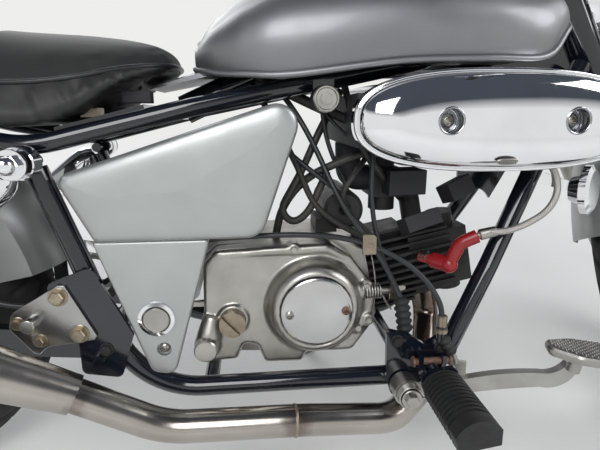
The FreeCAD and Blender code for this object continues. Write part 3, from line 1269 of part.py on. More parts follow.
keep(group("FrontTurnLamps", front_turn), "front_indicators", True)

horn = turned("Horn", [(-18, 0), (-18, 16), (-6, 20), (-2, D["horn_radius"]), (6, D["horn_radius"]), (9, 26),
                       (9, 0)], Placement(Vector(346, -96, 424), Rotation(Y, Vector(0.62, -0.78, 0.06))))
horn_arm = padded("HornArm", rounded([(0, -8, 4), (44, -6, 3), (44, 6, 3), (0, 8, 4)]), 4,
                  Placement(Vector(299.6, -65.1, 436.7), Rotation(Z, -32).multiply(Rotation(Y, 14))))
keep(fuse("HornAll", [horn, horn_arm]), "horn")


# How the machine stands: the lean, then the small pitch that puts both tyres down
lean = Rotation(X, -float(D["lean_angle"]))
steer_rest = Placement(axis_foot, Rotation(axis_up, float(D["lock_angle"]))).multiply(
    Placement(-axis_foot, Rotation()))


def lowest_of_wheel(turn, axle, axis, radius, crown):
    """How low a leaning tyre with a round crown reaches, and where."""
    spin = turn.multVec(axis)
    centre = turn.multVec(axle)
    down = (Vector(0, 0, -1) - spin * Vector(0, 0, -1).dot(spin)).normalize()
    return centre + down * (radius - crown) - Z * crown


def stance_turn(pitch):
    """The whole turn of the parked machine for a small pitch in degrees."""
    return lean.multiply(Rotation(Y, pitch))


steered_axle = steer_rest.multVec(front_axle)
steered_axis = steer_rest.Rotation.multVec(Y)


def drop_between(pitch):
    """How much lower the front tyre reaches than the rear one."""
    front = lowest_of_wheel(stance_turn(pitch), steered_axle, steered_axis,
                            float(D["front_tyre_radius"]), float(D["front_crown_radius"]))
    rear = lowest_of_wheel(stance_turn(pitch), rear_axle, Y,
                           float(D["rear_tyre_radius"]), float(D["rear_crown_radius"]))
    return front.z - rear.z, rear.z


low_pitch, high_pitch = -4.0, 4.0
for halving in range(50):
    pitch = (low_pitch + high_pitch) / 2
    if drop_between(pitch)[0] > 0:
        low_pitch = pitch
    else:
        high_pitch = pitch
stance = stance_turn(pitch)
ground = drop_between(pitch)[1]

# Side stand, folded out: its foot lies flat on the ground under the lean
stand_pivot = Vector(float(D["stand_pivot_forward"]), float(D["stand_pivot_side"]),
                     float(D["stand_pivot_height"]))
inverse = stance.inverted()
floor_normal = inverse.multVec(Z)
foot_flat = Vector(float(D["stand_foot_forward"]), float(D["stand_foot_side"]), 0)
foot_z = (ground - floor_normal.x * foot_flat.x - floor_normal.y * foot_flat.y) / floor_normal.z
foot = Vector(foot_flat.x, foot_flat.y, foot_z)
foot_plate = rod("StandFoot", foot, floor_normal, D["stand_foot_radius"], D["stand_foot_thickness"])
leg_end = foot + floor_normal * (float(D["stand_foot_thickness"]) * 0.5)
stand_leg = rod_between("StandLeg", stand_pivot, leg_end, D["stand_tube_radius"])
# The folded leg lies back along the lower tube, and the pivot is square to both places
leg_out = (leg_end - stand_pivot).normalize()
leg_folded = Vector(-1, 0.10, 0.03).normalize()
apart = (leg_out - leg_folded).normalize()
stand_axis = (Y - apart * Y.dot(apart)).normalize()
stand_boss = rod("StandBoss", stand_pivot - stand_axis * 9, stand_axis, 13, 18)
stand_pin = rod("StandPin", stand_pivot - stand_axis * 28, stand_axis, 5, 28)
keep(fuse("SideStand", [foot_plate, stand_leg, stand_boss, stand_pin]), "side_stand")
stand_hole = rod("StandHole", stand_pivot - stand_axis * 40, stand_axis, 5.3, 40)
keep(cut("FrameBrackets", group("BracketPlates", plates + [stand_lug]),
         fuse("BracketHoles", [bolt_holes, stand_hole])), "frame_brackets")
flat_out = (leg_out - stand_axis * leg_out.dot(stand_axis)).normalize()
flat_in = (leg_folded - stand_axis * leg_folded.dot(stand_axis)).normalize()
fold_angle = math.degrees(math.atan2(stand_axis.dot(flat_out.cross(flat_in)), flat_out.dot(flat_in)))

doc.recompute()

for item in doc.Objects:
    if "Invalid" in item.State or "Error" in item.State:
        raise RuntimeError(f"{item.Name} did not compute: {item.State}")
for piece, steered in pieces:
    if piece.Shape.isNull() or not piece.Shape.isValid():
        raise RuntimeError(f"{piece.Label} has no valid solid")

# Set the machine down with the middle of its box over the origin
leaned = Placement(Vector(), stance)
reach = FreeCAD.BoundBox()
for piece, steered in pieces:
    place = leaned.multiply(steer_rest) if steered else leaned
    solid = piece.Shape.copy()
    solid.Placement = place.multiply(solid.Placement)
    reach.add(solid.BoundBox)
shift = Placement(Vector(-(reach.XMin + reach.XMax) / 2, -(reach.YMin + reach.YMax) / 2, -ground), Rotation())
parked = shift.multiply(leaned)
for piece, steered in pieces:
    place = parked.multiply(steer_rest) if steered else parked
    piece.Placement = place.multiply(piece.Placement)
doc.recompute()

os.makedirs("parts", exist_ok=True)
for piece, steered in pieces:
    piece.Shape.exportStep(f"parts/{piece.Label}.step")
print(f"{len(pieces)} sub-parts, pitch {pitch:.3f}, low {reach.ZMin - ground:.3f}, fold {fold_angle:.1f}")
print(f"size {reach.XLength:.0f} x {reach.YLength:.0f} x {reach.ZLength:.0f}")
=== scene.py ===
import json
import logging
import math
from collections.abc import Callable, Sequence
from dataclasses import dataclass
from enum import Enum
from typing import ClassVar

import bmesh
import bpy
from mathutils import Matrix, Vector, noise
from mathutils.bvhtree import BVHTree


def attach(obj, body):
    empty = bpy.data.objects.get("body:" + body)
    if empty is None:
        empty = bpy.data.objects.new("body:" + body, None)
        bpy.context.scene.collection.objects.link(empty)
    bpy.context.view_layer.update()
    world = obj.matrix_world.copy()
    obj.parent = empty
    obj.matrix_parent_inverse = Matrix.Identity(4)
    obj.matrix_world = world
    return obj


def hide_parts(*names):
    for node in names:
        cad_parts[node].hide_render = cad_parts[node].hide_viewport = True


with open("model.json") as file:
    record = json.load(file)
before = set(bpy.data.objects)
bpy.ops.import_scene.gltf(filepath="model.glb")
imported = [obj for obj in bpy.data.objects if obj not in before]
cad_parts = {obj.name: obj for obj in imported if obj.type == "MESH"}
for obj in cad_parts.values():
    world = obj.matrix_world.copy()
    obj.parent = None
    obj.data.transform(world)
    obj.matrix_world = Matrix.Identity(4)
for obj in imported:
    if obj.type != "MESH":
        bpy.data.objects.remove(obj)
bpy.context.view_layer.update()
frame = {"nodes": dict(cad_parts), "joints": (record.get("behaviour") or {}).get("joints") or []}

LOG = logging.getLogger("cruiser")
MM = 0.001
Point = tuple[float, float, float]
Flat = tuple[float, float]
RIGHT, LEFT = -1, 1
X, Y, Z = Vector((1, 0, 0)), Vector((0, 1, 0)), Vector((0, 0, 1))


# Where the machine stands


@dataclass(frozen=True)
class Stance:
    """The parked machine's place. Pieces are drawn upright and in millimetres, with +X
    forward, +Y to the rider's left, and the origin on the ground midway between the axles."""

    rear_axle: Point = (-645, 0, 266)
    steering_foot: Point = (590.44, 0, 251.5)
    rake: float = 30.0
    lock: float = 40.0

    def steering_axis(self) -> Vector:
        """The upright machine's steering axis."""
        slope = math.radians(self.rake)
        return Vector((-math.sin(slope), 0, math.cos(slope)))

    def upright(self) -> Matrix:
        """The turn, place and scale from the upright drawing to the parked machine.

        Returns:
            A matrix from millimetres on the drawing to metres in the row frame.
        """
        joints = {joint["name"]: joint for joint in frame["joints"]}
        across = Vector(joints["rear_wheel_spin"]["axis"]).normalized()
        up = Vector(joints["steering"]["axis"]).normalized()
        drawn = Matrix((Y, self.steering_axis(), Y.cross(self.steering_axis()))).transposed()
        real = Matrix((across, up, across.cross(up))).transposed()
        turn = real @ drawn.transposed()
        place = Vector(joints["rear_wheel_spin"]["pos_m"]) - turn @ (Vector(self.rear_axle) * MM)
        return Matrix.Translation(place) @ turn.to_4x4() @ Matrix.Scale(MM, 4)

    def steered(self) -> Matrix:
        """The same for pieces that turn with the bars, which rest against the left stop.

        Returns:
            The matrix.
        """
        foot = Vector(self.steering_foot)
        turn = Matrix.Rotation(math.radians(self.lock), 4, self.steering_axis())
        return self.upright() @ Matrix.Translation(foot) @ turn @ Matrix.Translation(-foot)


STANCE = Stance()
UPRIGHT, STEERED = STANCE.upright(), STANCE.steered()
DRAWN = UPRIGHT.inverted()
TURNING = ("steering", "front_wheel")


# Finishes


class Nodes:
    """A short way to write a node tree."""

    def __init__(self, owner: bpy.types.Material | bpy.types.World) -> None:
        """Start the node tree of a material or world.

        Args:
            owner: Whose tree it is.
        """
        owner.use_nodes = True
        self.owner = owner
        self.tree = owner.node_tree

    def put(self, value: object, socket: bpy.types.NodeSocket) -> None:
        """Link a socket to an input, or set the input to a number or colour.

        Args:
            value: The socket, number or colour.
            socket: The input.
        """
        if isinstance(value, bpy.types.NodeSocket):
            self.tree.links.new(value, socket)
        else:
            socket.default_value = value

    def add(self, kind: str, *values: object, **settings: object) -> bpy.types.Node:
        """Add a node.

        Args:
            kind: The node's type.
            values: What its first inputs get.
            settings: Node properties, or input sockets with spaces written as underscores.

        Returns:
            The node.
        """
        node = self.tree.nodes.new(kind)
        for value, socket in zip(values, node.inputs):
            self.put(value, socket)
        for name, value in settings.items():
            socket = node.inputs.get(name.replace("_", " "))
            if socket is None:
                setattr(node, name, value)
            else:
                self.put(value, socket)
        return node

    def place(self, kind: str = "Object") -> bpy.types.NodeSocket:
        """The coordinates that patterns lie in."""
        return self.add("ShaderNodeTexCoord").outputs[kind]

    def paint(self, **settings: object) -> None:
        """Link or set the main shader's sockets, with spaces written as underscores."""
        for name, value in settings.items():
            self.put(value, self.tree.nodes["Principled BSDF"].inputs[name.replace("_", " ")])

    def end(self, shader: bpy.types.NodeSocket) -> None:
        """Link the tree's output to a shader."""
        output = next(node for node in self.tree.nodes if node.bl_idname.startswith("ShaderNodeOutput"))
        self.tree.links.new(shader, output.inputs[0])

    def noise(self, scale: float, detail: float = 4.0, stretch: Point = (1, 1, 1)) -> bpy.types.NodeSocket:
        """A cloudy pattern from 0 to 1, with its features per metre, finer octaves and scale along each axis."""
        spread = self.add("ShaderNodeMapping", Vector=self.place(), Scale=stretch).outputs[0]
        return self.add("ShaderNodeTexNoise", Vector=spread, Scale=scale, Detail=detail).outputs["Fac"]

    def between(self, share: bpy.types.NodeSocket, low: float, high: float,
                start: float = 0.3, end: float = 0.7) -> bpy.types.NodeSocket:
        """Stretch a pattern, so that start becomes low and end becomes high."""
        made = self.add("ShaderNodeMapRange", Value=share, From_Min=start, From_Max=end, To_Min=low, To_Max=high)
        return made.outputs[0]

    def mix(self, share: bpy.types.NodeSocket, first: object, second: Point) -> bpy.types.NodeSocket:
        """Blend two colours by a pattern.

        Args:
            share: The pattern.
            first: The colour, or its socket, where the pattern is 0.
            second: The colour where it is 1.

        Returns:
            The colour's socket.
        """
        made = self.add("ShaderNodeMix", data_type="RGBA")
        self.put(share, made.inputs[0])
        self.put(first if isinstance(first, bpy.types.NodeSocket) else (*first, 1), made.inputs[6])
        self.put((*second, 1), made.inputs[7])
        return made.outputs[2]

    def bump(self, height: bpy.types.NodeSocket, depth: float, before: bpy.types.NodeSocket | None = None
             ) -> bpy.types.NodeSocket:
        """Raise a surface by a pattern.

        Args:
            height: The pattern.
            depth: Its full depth in metres.
            before: An earlier bump to add to.

        Returns:
            The normal's socket.
        """
        made = self.add("ShaderNodeBump", Height=height, Strength=1.0, Distance=depth)
        if before is not None:
            self.put(before, made.inputs["Normal"])
        return made.outputs[0]


@dataclass(frozen=True)
class Finish:
    """A finish with cloudy colour and gloss, and a fine grain."""

    name: str
    colour: Point
    # Most finishes blend to this colour at random; the braid uses it as painted shade between its wires.
    stain_and_groove_shade: Point
    metallic: float = 0.0
    gloss: Flat = (0.3, 0.4)
    patch: float = 14.0
    grain: float = 1800.0
    depth: float = 0.00001
    coat: float = 0.0
    specular: float = 0.5
    sheen: float = 0.0

    def material(self) -> bpy.types.Material:
        """The material, made on its first use."""
        found = bpy.data.materials.get(self.name)
        return found or self.dress(Nodes(bpy.data.materials.new(self.name)))

    def dress(self, nodes: Nodes) -> bpy.types.Material:
        """Wire the whole material.

        Args:
            nodes: Its empty node tree.

        Returns:
            The finished material.
        """
        clouds = nodes.noise(self.patch, 5.0)
        smears, grain = nodes.noise(self.patch * 3, 6.0), nodes.noise(self.grain, 3.0)
        nodes.paint(Base_Color=nodes.mix(nodes.between(clouds, 0, 1), self.colour, self.stain_and_groove_shade),
                    Roughness=nodes.between(smears, *self.gloss), Normal=nodes.bump(grain, self.depth),
                    Metallic=self.metallic, Specular_IOR_Level=self.specular, Coat_Weight=self.coat,
                    Coat_Roughness=0.06, Sheen_Weight=self.sheen)
        self.detail(nodes)
        return nodes.owner

    def detail(self, nodes: Nodes) -> None:
        """Add what only this kind of finish has."""


@dataclass(frozen=True)
class Flake(Finish):
    """Metallic paint: bright flakes under a clear coat."""

    flake: float = 2600.0

    def detail(self, nodes: Nodes) -> None:
        """Scatter the flakes.

        Args:
            nodes: The material's tree.
        """
        cells = nodes.add("ShaderNodeTexVoronoi", Vector=nodes.place(), Scale=self.flake).outputs["Distance"]
        spots = nodes.add("ShaderNodeMath", cells, 0.35, nodes.noise(self.patch, 4.0), operation="MULTIPLY_ADD")
        shade = nodes.between(spots.outputs[0], 0, 1, 0.35, 0.95)
        nodes.paint(Base_Color=nodes.mix(shade, self.colour, self.stain_and_groove_shade))


@dataclass(frozen=True)
class Hide(Finish):
    """Grained leather cloth with soft creases."""

    pebble: float = 330.0

    def detail(self, nodes: Nodes) -> None:
        """Press the grain in.

        Args:
            nodes: The material's tree.
        """
        place = nodes.place()
        wobble = nodes.add("ShaderNodeTexNoise", Vector=place, Scale=180.0, Detail=2.0).outputs["Color"]
        moved = nodes.add("ShaderNodeMixRGB", 0.0016, place, wobble).outputs[0]
        cells = nodes.add("ShaderNodeTexVoronoi", Vector=moved, Scale=self.pebble, feature="DISTANCE_TO_EDGE")
        creases = nodes.bump(nodes.noise(42.0, 5.0, (0.5, 1.0, 2.4)), 0.0016)
        pebbles = nodes.bump(nodes.between(cells.outputs[0], 0, 1, 0.0, 0.35), 0.0006, creases)
        nodes.paint(Normal=nodes.bump(nodes.noise(2600, 3.0), 0.00005, pebbles))


@dataclass(frozen=True)
class Pipe(Finish):
    """Brushed steel pipe with brown heat bands round its welds."""

    welds: tuple[tuple[float, float, float, float], ...] = ()
    burnt: Point = (0.10, 0.065, 0.05)

    def detail(self, nodes: Nodes) -> None:
        """Burn the steel round each weld.

        Args:
            nodes: The material's tree.
        """
        shade = nodes.mix(nodes.between(nodes.noise(self.patch, 5.0), 0, 1), self.colour, self.stain_and_groove_shade)
        for *weld, reach in self.welds:
            gap = nodes.add("ShaderNodeVectorMath", nodes.place(), UPRIGHT @ Vector(weld), operation="DISTANCE")
            ragged = nodes.add("ShaderNodeMath", nodes.noise(90.0, 4.0), 0.012, gap.outputs["Value"],
                               operation="MULTIPLY_ADD")
            shade = nodes.mix(nodes.between(ragged.outputs[0], 0.85, 0.0, 0.021, reach * MM), shade, self.burnt)
        nodes.paint(Base_Color=shade)


@dataclass(frozen=True)
class Lens(Finish):
    """Clear or tinted moulding that light passes through."""

    clear: float = 0.8
    bend: float = 1.49

    def detail(self, nodes: Nodes) -> None:
        """Let light through."""
        nodes.paint(Transmission_Weight=self.clear, IOR=self.bend)


@dataclass(frozen=True)
class Braid(Finish):
    """Woven steel sleeve, laid along the piece's own unwrapped length."""

    def detail(self, nodes: Nodes) -> None:
        """Weave the wires.

        Args:
            nodes: The material's tree.
        """
        flat = nodes.place("UV")
        heights = []
        for lean in (0.785, -0.785):
            turned = nodes.add("ShaderNodeMapping", Vector=flat, Rotation=(0, 0, lean))
            waves = nodes.add("ShaderNodeTexWave", Vector=turned.outputs[0], Scale=0.3)
            heights.append(waves.outputs["Fac"])
        highest = nodes.add("ShaderNodeMath", *heights, operation="MAXIMUM").outputs[0]
        # The gaps between the wires get the darker colour: painted shade.
        nodes.paint(Normal=nodes.bump(highest, 0.0005), Base_Color=nodes.mix(highest, self.stain_and_groove_shade, self.colour))


class Palette(Enum):
    """The machine's finishes."""

    TANK = Flake("tank_silver", (0.28, 0.282, 0.295), (0.21, 0.212, 0.225), 0.85, (0.40, 0.48), 9.0, 2600,
                 0.000005, 0.2)
    PANEL = Flake("panel_silver", (0.48, 0.50, 0.495), (0.40, 0.42, 0.415), 0.8, (0.36, 0.46), 12.0, 2400,
                  0.000006, 0.15)
    FRAME = Finish("frame_navy_black", (0.005, 0.007, 0.012), (0.007, 0.009, 0.015), 0.0, (0.10, 0.15), 8.0, 240,
                   0.000008, 0.6)
    CHROME = Finish("bright_chrome", (0.86, 0.87, 0.89), (0.80, 0.81, 0.83), 1.0, (0.03, 0.08), 20.0, 700, 0.000002)
    # A darker, rougher chrome for the cups sunk in the air covers: painted shade in their bores.
    CHROME_PAINTED_SHADE = Finish("chrome_painted_shade", (0.42, 0.43, 0.45), (0.30, 0.31, 0.33), 1.0, (0.16, 0.30), 26.0, 900,
                        0.00001)
    CAST = Finish("satin_cast_alloy", (0.51, 0.50, 0.47), (0.34, 0.33, 0.30), 1.0, (0.28, 0.44), 16.0, 1500,
                  0.00003)
    PEDAL = Finish("brushed_pedal", (0.46, 0.46, 0.44), (0.34, 0.33, 0.31), 1.0, (0.32, 0.46), 22.0, 1300, 0.00003)
    POLISHED = Finish("polished_alloy", (0.56, 0.56, 0.56), (0.46, 0.46, 0.46), 1.0, (0.14, 0.24), 16.0, 1400,
                      0.000006)
    WHEEL = Finish("wheel_alloy", (0.60, 0.61, 0.62), (0.50, 0.51, 0.52), 0.9, (0.26, 0.36), 10.0, 1600, 0.00002)
    ENGINE_BLACK = Finish("engine_black", (0.016, 0.016, 0.017), (0.030, 0.029, 0.028), 0.25, (0.42, 0.62), 22.0,
                          1300, 0.00006)
    PLASTIC = Finish("black_plastic", (0.014, 0.014, 0.016), (0.022, 0.022, 0.024), 0.0, (0.42, 0.58), 20.0, 1800,
                     0.00004)
    RUBBER = Finish("soft_rubber", (0.013, 0.013, 0.014), (0.026, 0.026, 0.027), 0.0, (0.5, 0.68), 26.0, 1500,
                    0.00006, 0.0, 0.4)
    TYRE = Finish("tyre_rubber", (0.015, 0.015, 0.016), (0.026, 0.025, 0.024), 0.0, (0.62, 0.82), 16.0, 1300,
                  0.00008, 0.0, 0.35)
    CABLE = Finish("cable_cover", (0.014, 0.015, 0.017), (0.026, 0.027, 0.030), 0.0, (0.30, 0.42), 40.0, 1700,
                   0.00002)
    HOSE = Finish("fuel_hose", (0.02, 0.02, 0.02), (0.035, 0.033, 0.03), 0.0, (0.45, 0.6), 40.0, 1500, 0.00004)
    STEEL = Finish("plated_steel", (0.50, 0.49, 0.46), (0.34, 0.33, 0.30), 1.0, (0.24, 0.40), 30.0, 1500, 0.00002)
    ZINC = Finish("yellow_zinc", (0.44, 0.39, 0.30), (0.27, 0.22, 0.16), 1.0, (0.28, 0.44), 90.0, 1500, 0.00002)
    RUST = Finish("rusty_screw", (0.13, 0.06, 0.04), (0.24, 0.15, 0.12), 0.5, (0.5, 0.8), 160.0, 2200, 0.0001)
    BRONZE = Finish("tan_cap", (0.36, 0.31, 0.24), (0.24, 0.20, 0.15), 0.85, (0.3, 0.45), 60.0, 1700, 0.00004)
    WELD = Finish("weld_scale", (0.24, 0.18, 0.13), (0.38, 0.33, 0.28), 0.9, (0.34, 0.5), 120.0, 1500, 0.00006)
    STAINLESS = Finish("hanger_stainless", (0.42, 0.42, 0.41), (0.33, 0.325, 0.31), 1.0, (0.20, 0.28), 9.0, 2400,
                       0.000003)
    PIPE = Pipe("exhaust_steel", (0.47, 0.44, 0.41), (0.36, 0.33, 0.295), 1.0, (0.16, 0.26), 9.0, 1300, 0.000006, 0.0,
                0.5, 0.0, ((-44, -160, 154, 34), (-292, -166, 206, 32), (174, -6, 236, 100),
                                      (152, -76, 152, 80)))
    SEAT = Hide("seat_leather", (0.026, 0.026, 0.029), (0.038, 0.038, 0.041), 0.0, (0.28, 0.38), 12.0, 2200, 0.0001,
                0.0, 0.7, 0.45)
    PIPING = Finish("seat_piping", (0.010, 0.010, 0.012), (0.018, 0.018, 0.020), 0.0, (0.3, 0.42), 60.0, 2200,
                    0.00003)
    RED = Finish("red_cap", (0.30, 0.006, 0.012), (0.22, 0.004, 0.010), 0.0, (0.26, 0.4), 40.0, 1600, 0.00003, 0.2)
    AMBER = Lens("amber_lens", (0.9, 0.30, 0.02), (0.8, 0.24, 0.02), 0.0, (0.08, 0.14), 40.0, 600, 0.00004, 0.0)
    STOP = Lens("red_lens", (0.62, 0.01, 0.012), (0.5, 0.01, 0.01), 0.0, (0.08, 0.14), 40.0, 600, 0.00004, 0.0)
    GLASS = Lens("clear_glass", (0.95, 0.96, 0.97), (0.93, 0.94, 0.95), 0.0, (0.02, 0.05), 30.0, 90, 0.0002, 0.0,
                 0.5, 0.0, 1.0, 1.5)
    MIRROR = Finish("mirror_glass", (0.86, 0.88, 0.90), (0.84, 0.86, 0.88), 1.0, (0.01, 0.02), 20.0, 400, 0.0000005)
    # Its second colour is painted shade in the gaps between the wires.
    BRAID = Braid("steel_braid", (0.62, 0.60, 0.57), (0.16, 0.15, 0.14), 0.9, (0.3, 0.45), 60.0, 1500, 0.0)
    PLATE = Finish("blank_plate", (0.74, 0.74, 0.70), (0.68, 0.68, 0.64), 0.0, (0.3, 0.4), 20.0, 1400, 0.00001)


NODE_FINISH: dict[Palette, str] = {
    Palette.TYRE: "front_tyre rear_tyre",
    Palette.WHEEL: "front_wheel_rim rear_wheel_rim",
    Palette.STEEL: "front_brake_disc drive_chain side_stand",
    Palette.CAST: "rear_drum_and_sprocket rear_brake_plate crankcase clutch_cover fork_leg_right fork_leg_left",
    Palette.FRAME: "frame_spine frame_cradle frame_brackets footpeg_brackets swingarm",
    Palette.ENGINE_BLACK: "cylinder cylinder_head starter_motor carburettor brake_caliper bar_controls",
    Palette.PLASTIC: "air_box ignition_switch ignition_coil",
    Palette.CHROME: "air_covers fuel_cap rear_shocks chain_guard headlamp handlebar mirrors speedometer "
                    "headlamp_brackets horn",
    Palette.PANEL: "side_covers rear_fender front_fender",
    Palette.TANK: "fuel_tank",
    Palette.SEAT: "seat",
    Palette.PIPE: "exhaust",
    Palette.STAINLESS: "exhaust_hanger",
    Palette.RUBBER: "footpegs grips",
    Palette.PEDAL: "brake_pedal",
    Palette.POLISHED: "gear_lever fork_yokes",
    Palette.CABLE: "brake_cable",
    Palette.BRAID: "plug_lead",
    Palette.RED: "plug_cap",
    Palette.STOP: "tail_lamp",
    Palette.PLATE: "number_plate",
    Palette.AMBER: "rear_indicators front_indicators",
}


# Shaping


def circle(radius: float, steps: int) -> list[Flat]:
    """The points of a round outline."""
    turns = (2 * math.pi * n / steps for n in range(steps))
    return [(radius * math.cos(turn), radius * math.sin(turn)) for turn in turns]


class Form:
    """One piece's mesh, drawn upright in millimetres."""

    def __init__(self) -> None:
        """Start empty."""
        self.mesh = bmesh.new()

    def rings(self, rows: list[list[Vector]], close: bool = True, caps: bool = True) -> "Form":
        """Skin a row of outlines that have the same number of points.

        Args:
            rows: The outlines, in order.
            close: Whether each outline is a closed loop.
            caps: Whether the first and last outlines are filled.

        Returns:
            The form itself.
        """
        made = [[self.mesh.verts.new(point) for point in row] for row in rows]
        count = len(rows[0])
        for before, after in zip(made, made[1:]):
            for place in range(count if close else count - 1):
                following = (place + 1) % count
                self.mesh.faces.new((before[place], before[following], after[following], after[place]))
        if caps and close:
            self.mesh.faces.new(list(reversed(made[0])))
            self.mesh.faces.new(made[-1])
        return self

    def turned(self, profile: list[Flat], centre: Point | Vector, axis: Point | Vector, steps: int = 48,
               ring: bool = False) -> "Form":
        """A body of revolution.

        Args:
            profile: (along, radius) points; a closed body starts and ends on the axis.
            centre: Where along is 0.
            axis: The direction of along.
            steps: How many points go round.
            ring: Whether the profile closes on itself, clear of the axis.

        Returns:
            The form itself.
        """
        line = Vector(axis).normalized()
        side = line.orthogonal().normalized()
        up = line.cross(side)
        rows = [[Vector(centre) + line * along + side * x + up * y for x, y in circle(max(radius, 0.02), steps)]
                for along, radius in profile]
        return self.rings(rows + [rows[0]] if ring else rows, caps=not ring)

    def tube(self, path: Sequence[Point | Vector], radius: float | list[float], sides: int = 14,
             close: bool = False) -> "Form":
        """A round tube along a fine path.

        Args:
            path: The centre line's points.
            radius: One radius, or one for each point.
            sides: How many points go round.
            close: Whether the path is a loop.

        Returns:
            The form itself.
        """
        path = [Vector(point) for point in path]
        sizes = radius if isinstance(radius, list) else [radius] * len(path)
        side = (path[1] - path[0]).orthogonal().normalized()
        rows = []
        for place, point in enumerate(path):
            after = path[(place + 1) % len(path)] if close else path[min(place + 1, len(path) - 1)]
            before = path[place - 1] if close or place else path[0]
            line = (after - before).normalized()
            side = (side - line * side.dot(line)).normalized()
            up = line.cross(side)
            rows.append([point + side * x + up * y for x, y in circle(sizes[place], sides)])
        return self.rings(rows + [rows[0]] if close else rows, caps=not close)

    def relief(self, place: Matrix, radius: float, height: Callable[[float, float], float], steps: int = 32,
               rows: int = 9) -> "Form":
        """A round boss whose top follows a height law.

        Args:
            place: Its middle, with z outwards.
            radius: Its radius.
            height: The height at (x, y).
            steps: How many points go round.
            rows: How many rings its top has.

        Returns:
            The form itself.
        """
        levels = [[place @ Vector((x, y, -0.8)) for x, y in circle(radius, steps)]]
        for row in range(rows + 1):
            size = radius * (1 - row / rows) or 0.02
            levels.append([place @ Vector((x, y, height(x, y))) for x, y in circle(size, steps)])
        return self.rings(levels)

    def prism(self, outline: list[Flat], depth: float, place: Matrix) -> "Form":
        """A plate: an outline in the place's own x and y, as thick as depth along its z."""
        rows = [[place @ Vector((x, y, height)) for x, y in outline] for height in (-depth / 2, depth / 2)]
        return self.rings(rows)

    def block(self, size: Point, place: Matrix) -> "Form":
        """A box about the middle of a place."""
        x, y, z = (side / 2 for side in size)
        return self.prism([(-x, -y), (x, -y), (x, y), (-x, y)], 2 * z, place)

    def unwrap(self, sides: int = 14) -> "Form":
        """Give each four-sided face of a tube its own place in a strip, for woven patterns.

        Args:
            sides: How many points go round the tube.

        Returns:
            The form itself.
        """
        layer = self.mesh.loops.layers.uv.new("UVMap")
        self.mesh.faces.ensure_lookup_table()
        for number, face in enumerate(f for f in self.mesh.faces if len(f.verts) == 4):
            for corner, (u, v) in zip(face.loops, ((0, 0), (0, 1), (1, 1), (1, 0))):
                corner[layer].uv = (number // sides + u, number % sides + v)
        return self


def facing(centre: Point | Vector, normal: Point | Vector, up: Point | Vector = (0, 0, 1)) -> Matrix:
    """A place whose z looks along normal and whose y is as near up as it can be.

    Args:
        centre: Its origin.
        normal: Its z direction.
        up: The direction its y follows.

    Returns:
        The place.
    """
    out = Vector(normal).normalized()
    right = Vector(up).cross(out).normalized()
    return Matrix.Translation(Vector(centre)) @ Matrix((right, out.cross(right), out)).transposed().to_4x4()


def smooth_path(points: Sequence[Point], steps: int = 8) -> list[Vector]:
    """A fine, even-flowing line near a route's points.

    Args:
        points: The route.
        steps: How many points each stretch gets.

    Returns:
        The line's points.
    """
    route = [Vector(point) for point in points]
    route = [route[0] * 2 - route[1]] + route + [route[-1] * 2 - route[-2]]
    line = []
    for first, second, third in zip(route, route[1:], route[2:]):
        start, end = (first + second) / 2, (second + third) / 2
        for step in range(steps):
            share = step / steps
            line.append(start * (1 - share) ** 2 + second * 2 * share * (1 - share) + end * share ** 2)
    line.append((route[-2] + route[-1]) / 2)
    line[0] = Vector(points[0])
    return line


def through(points: list[Vector], steps: int) -> list[Vector]:
    """A smooth line through points.

    Args:
        points: The points, in order.
        steps: How many pieces each stretch gets.

    Returns:
        The line's points.
    """
    route = [points[0] * 2 - points[1], *points, points[-1] * 2 - points[-2]]
    line = []
    for p0, p1, p2, p3 in zip(route, route[1:], route[2:], route[3:]):
        for step in range(steps):
            t = step / steps
            line.append((p1 * 2 + (p2 - p0) * t + (p0 * 2 - p1 * 5 + p2 * 4 - p3) * t ** 2
                         + (p1 * 3 - p0 - p2 * 3 + p3) * t ** 3) / 2)
    return line + [Vector(points[-1])]


def bow(start: Flat, via: Flat, end: Flat, steps: int) -> list[Flat]:
    """Points on the circle through three points, without the last one.

    Args:
        start: Where the arc starts.
        via: A point that it passes.
        end: Where it ends.
        steps: How many points it has.

    Returns:
        The points.
    """
    (x1, y1), (x2, y2), (x3, y3) = start, via, end
    turn = 2 * (x1 * (y2 - y3) + x2 * (y3 - y1) + x3 * (y1 - y2))
    s1, s2, s3 = x1 * x1 + y1 * y1, x2 * x2 + y2 * y2, x3 * x3 + y3 * y3
    cx = (s1 * (y2 - y3) + s2 * (y3 - y1) + s3 * (y1 - y2)) / turn
    cy = (s1 * (x3 - x2) + s2 * (x1 - x3) + s3 * (x2 - x1)) / turn
    radius, first = math.hypot(x1 - cx, y1 - cy), math.atan2(y1 - cy, x1 - cx)
    middle = (math.atan2(y2 - cy, x2 - cx) - first) % (2 * math.pi)
    last = (math.atan2(y3 - cy, x3 - cx) - first) % (2 * math.pi)
    if middle > last:
        last -= 2 * math.pi
    return [(cx + radius * math.cos(first + last * n / steps), cy + radius * math.sin(first + last * n / steps))
            for n in range(steps)]


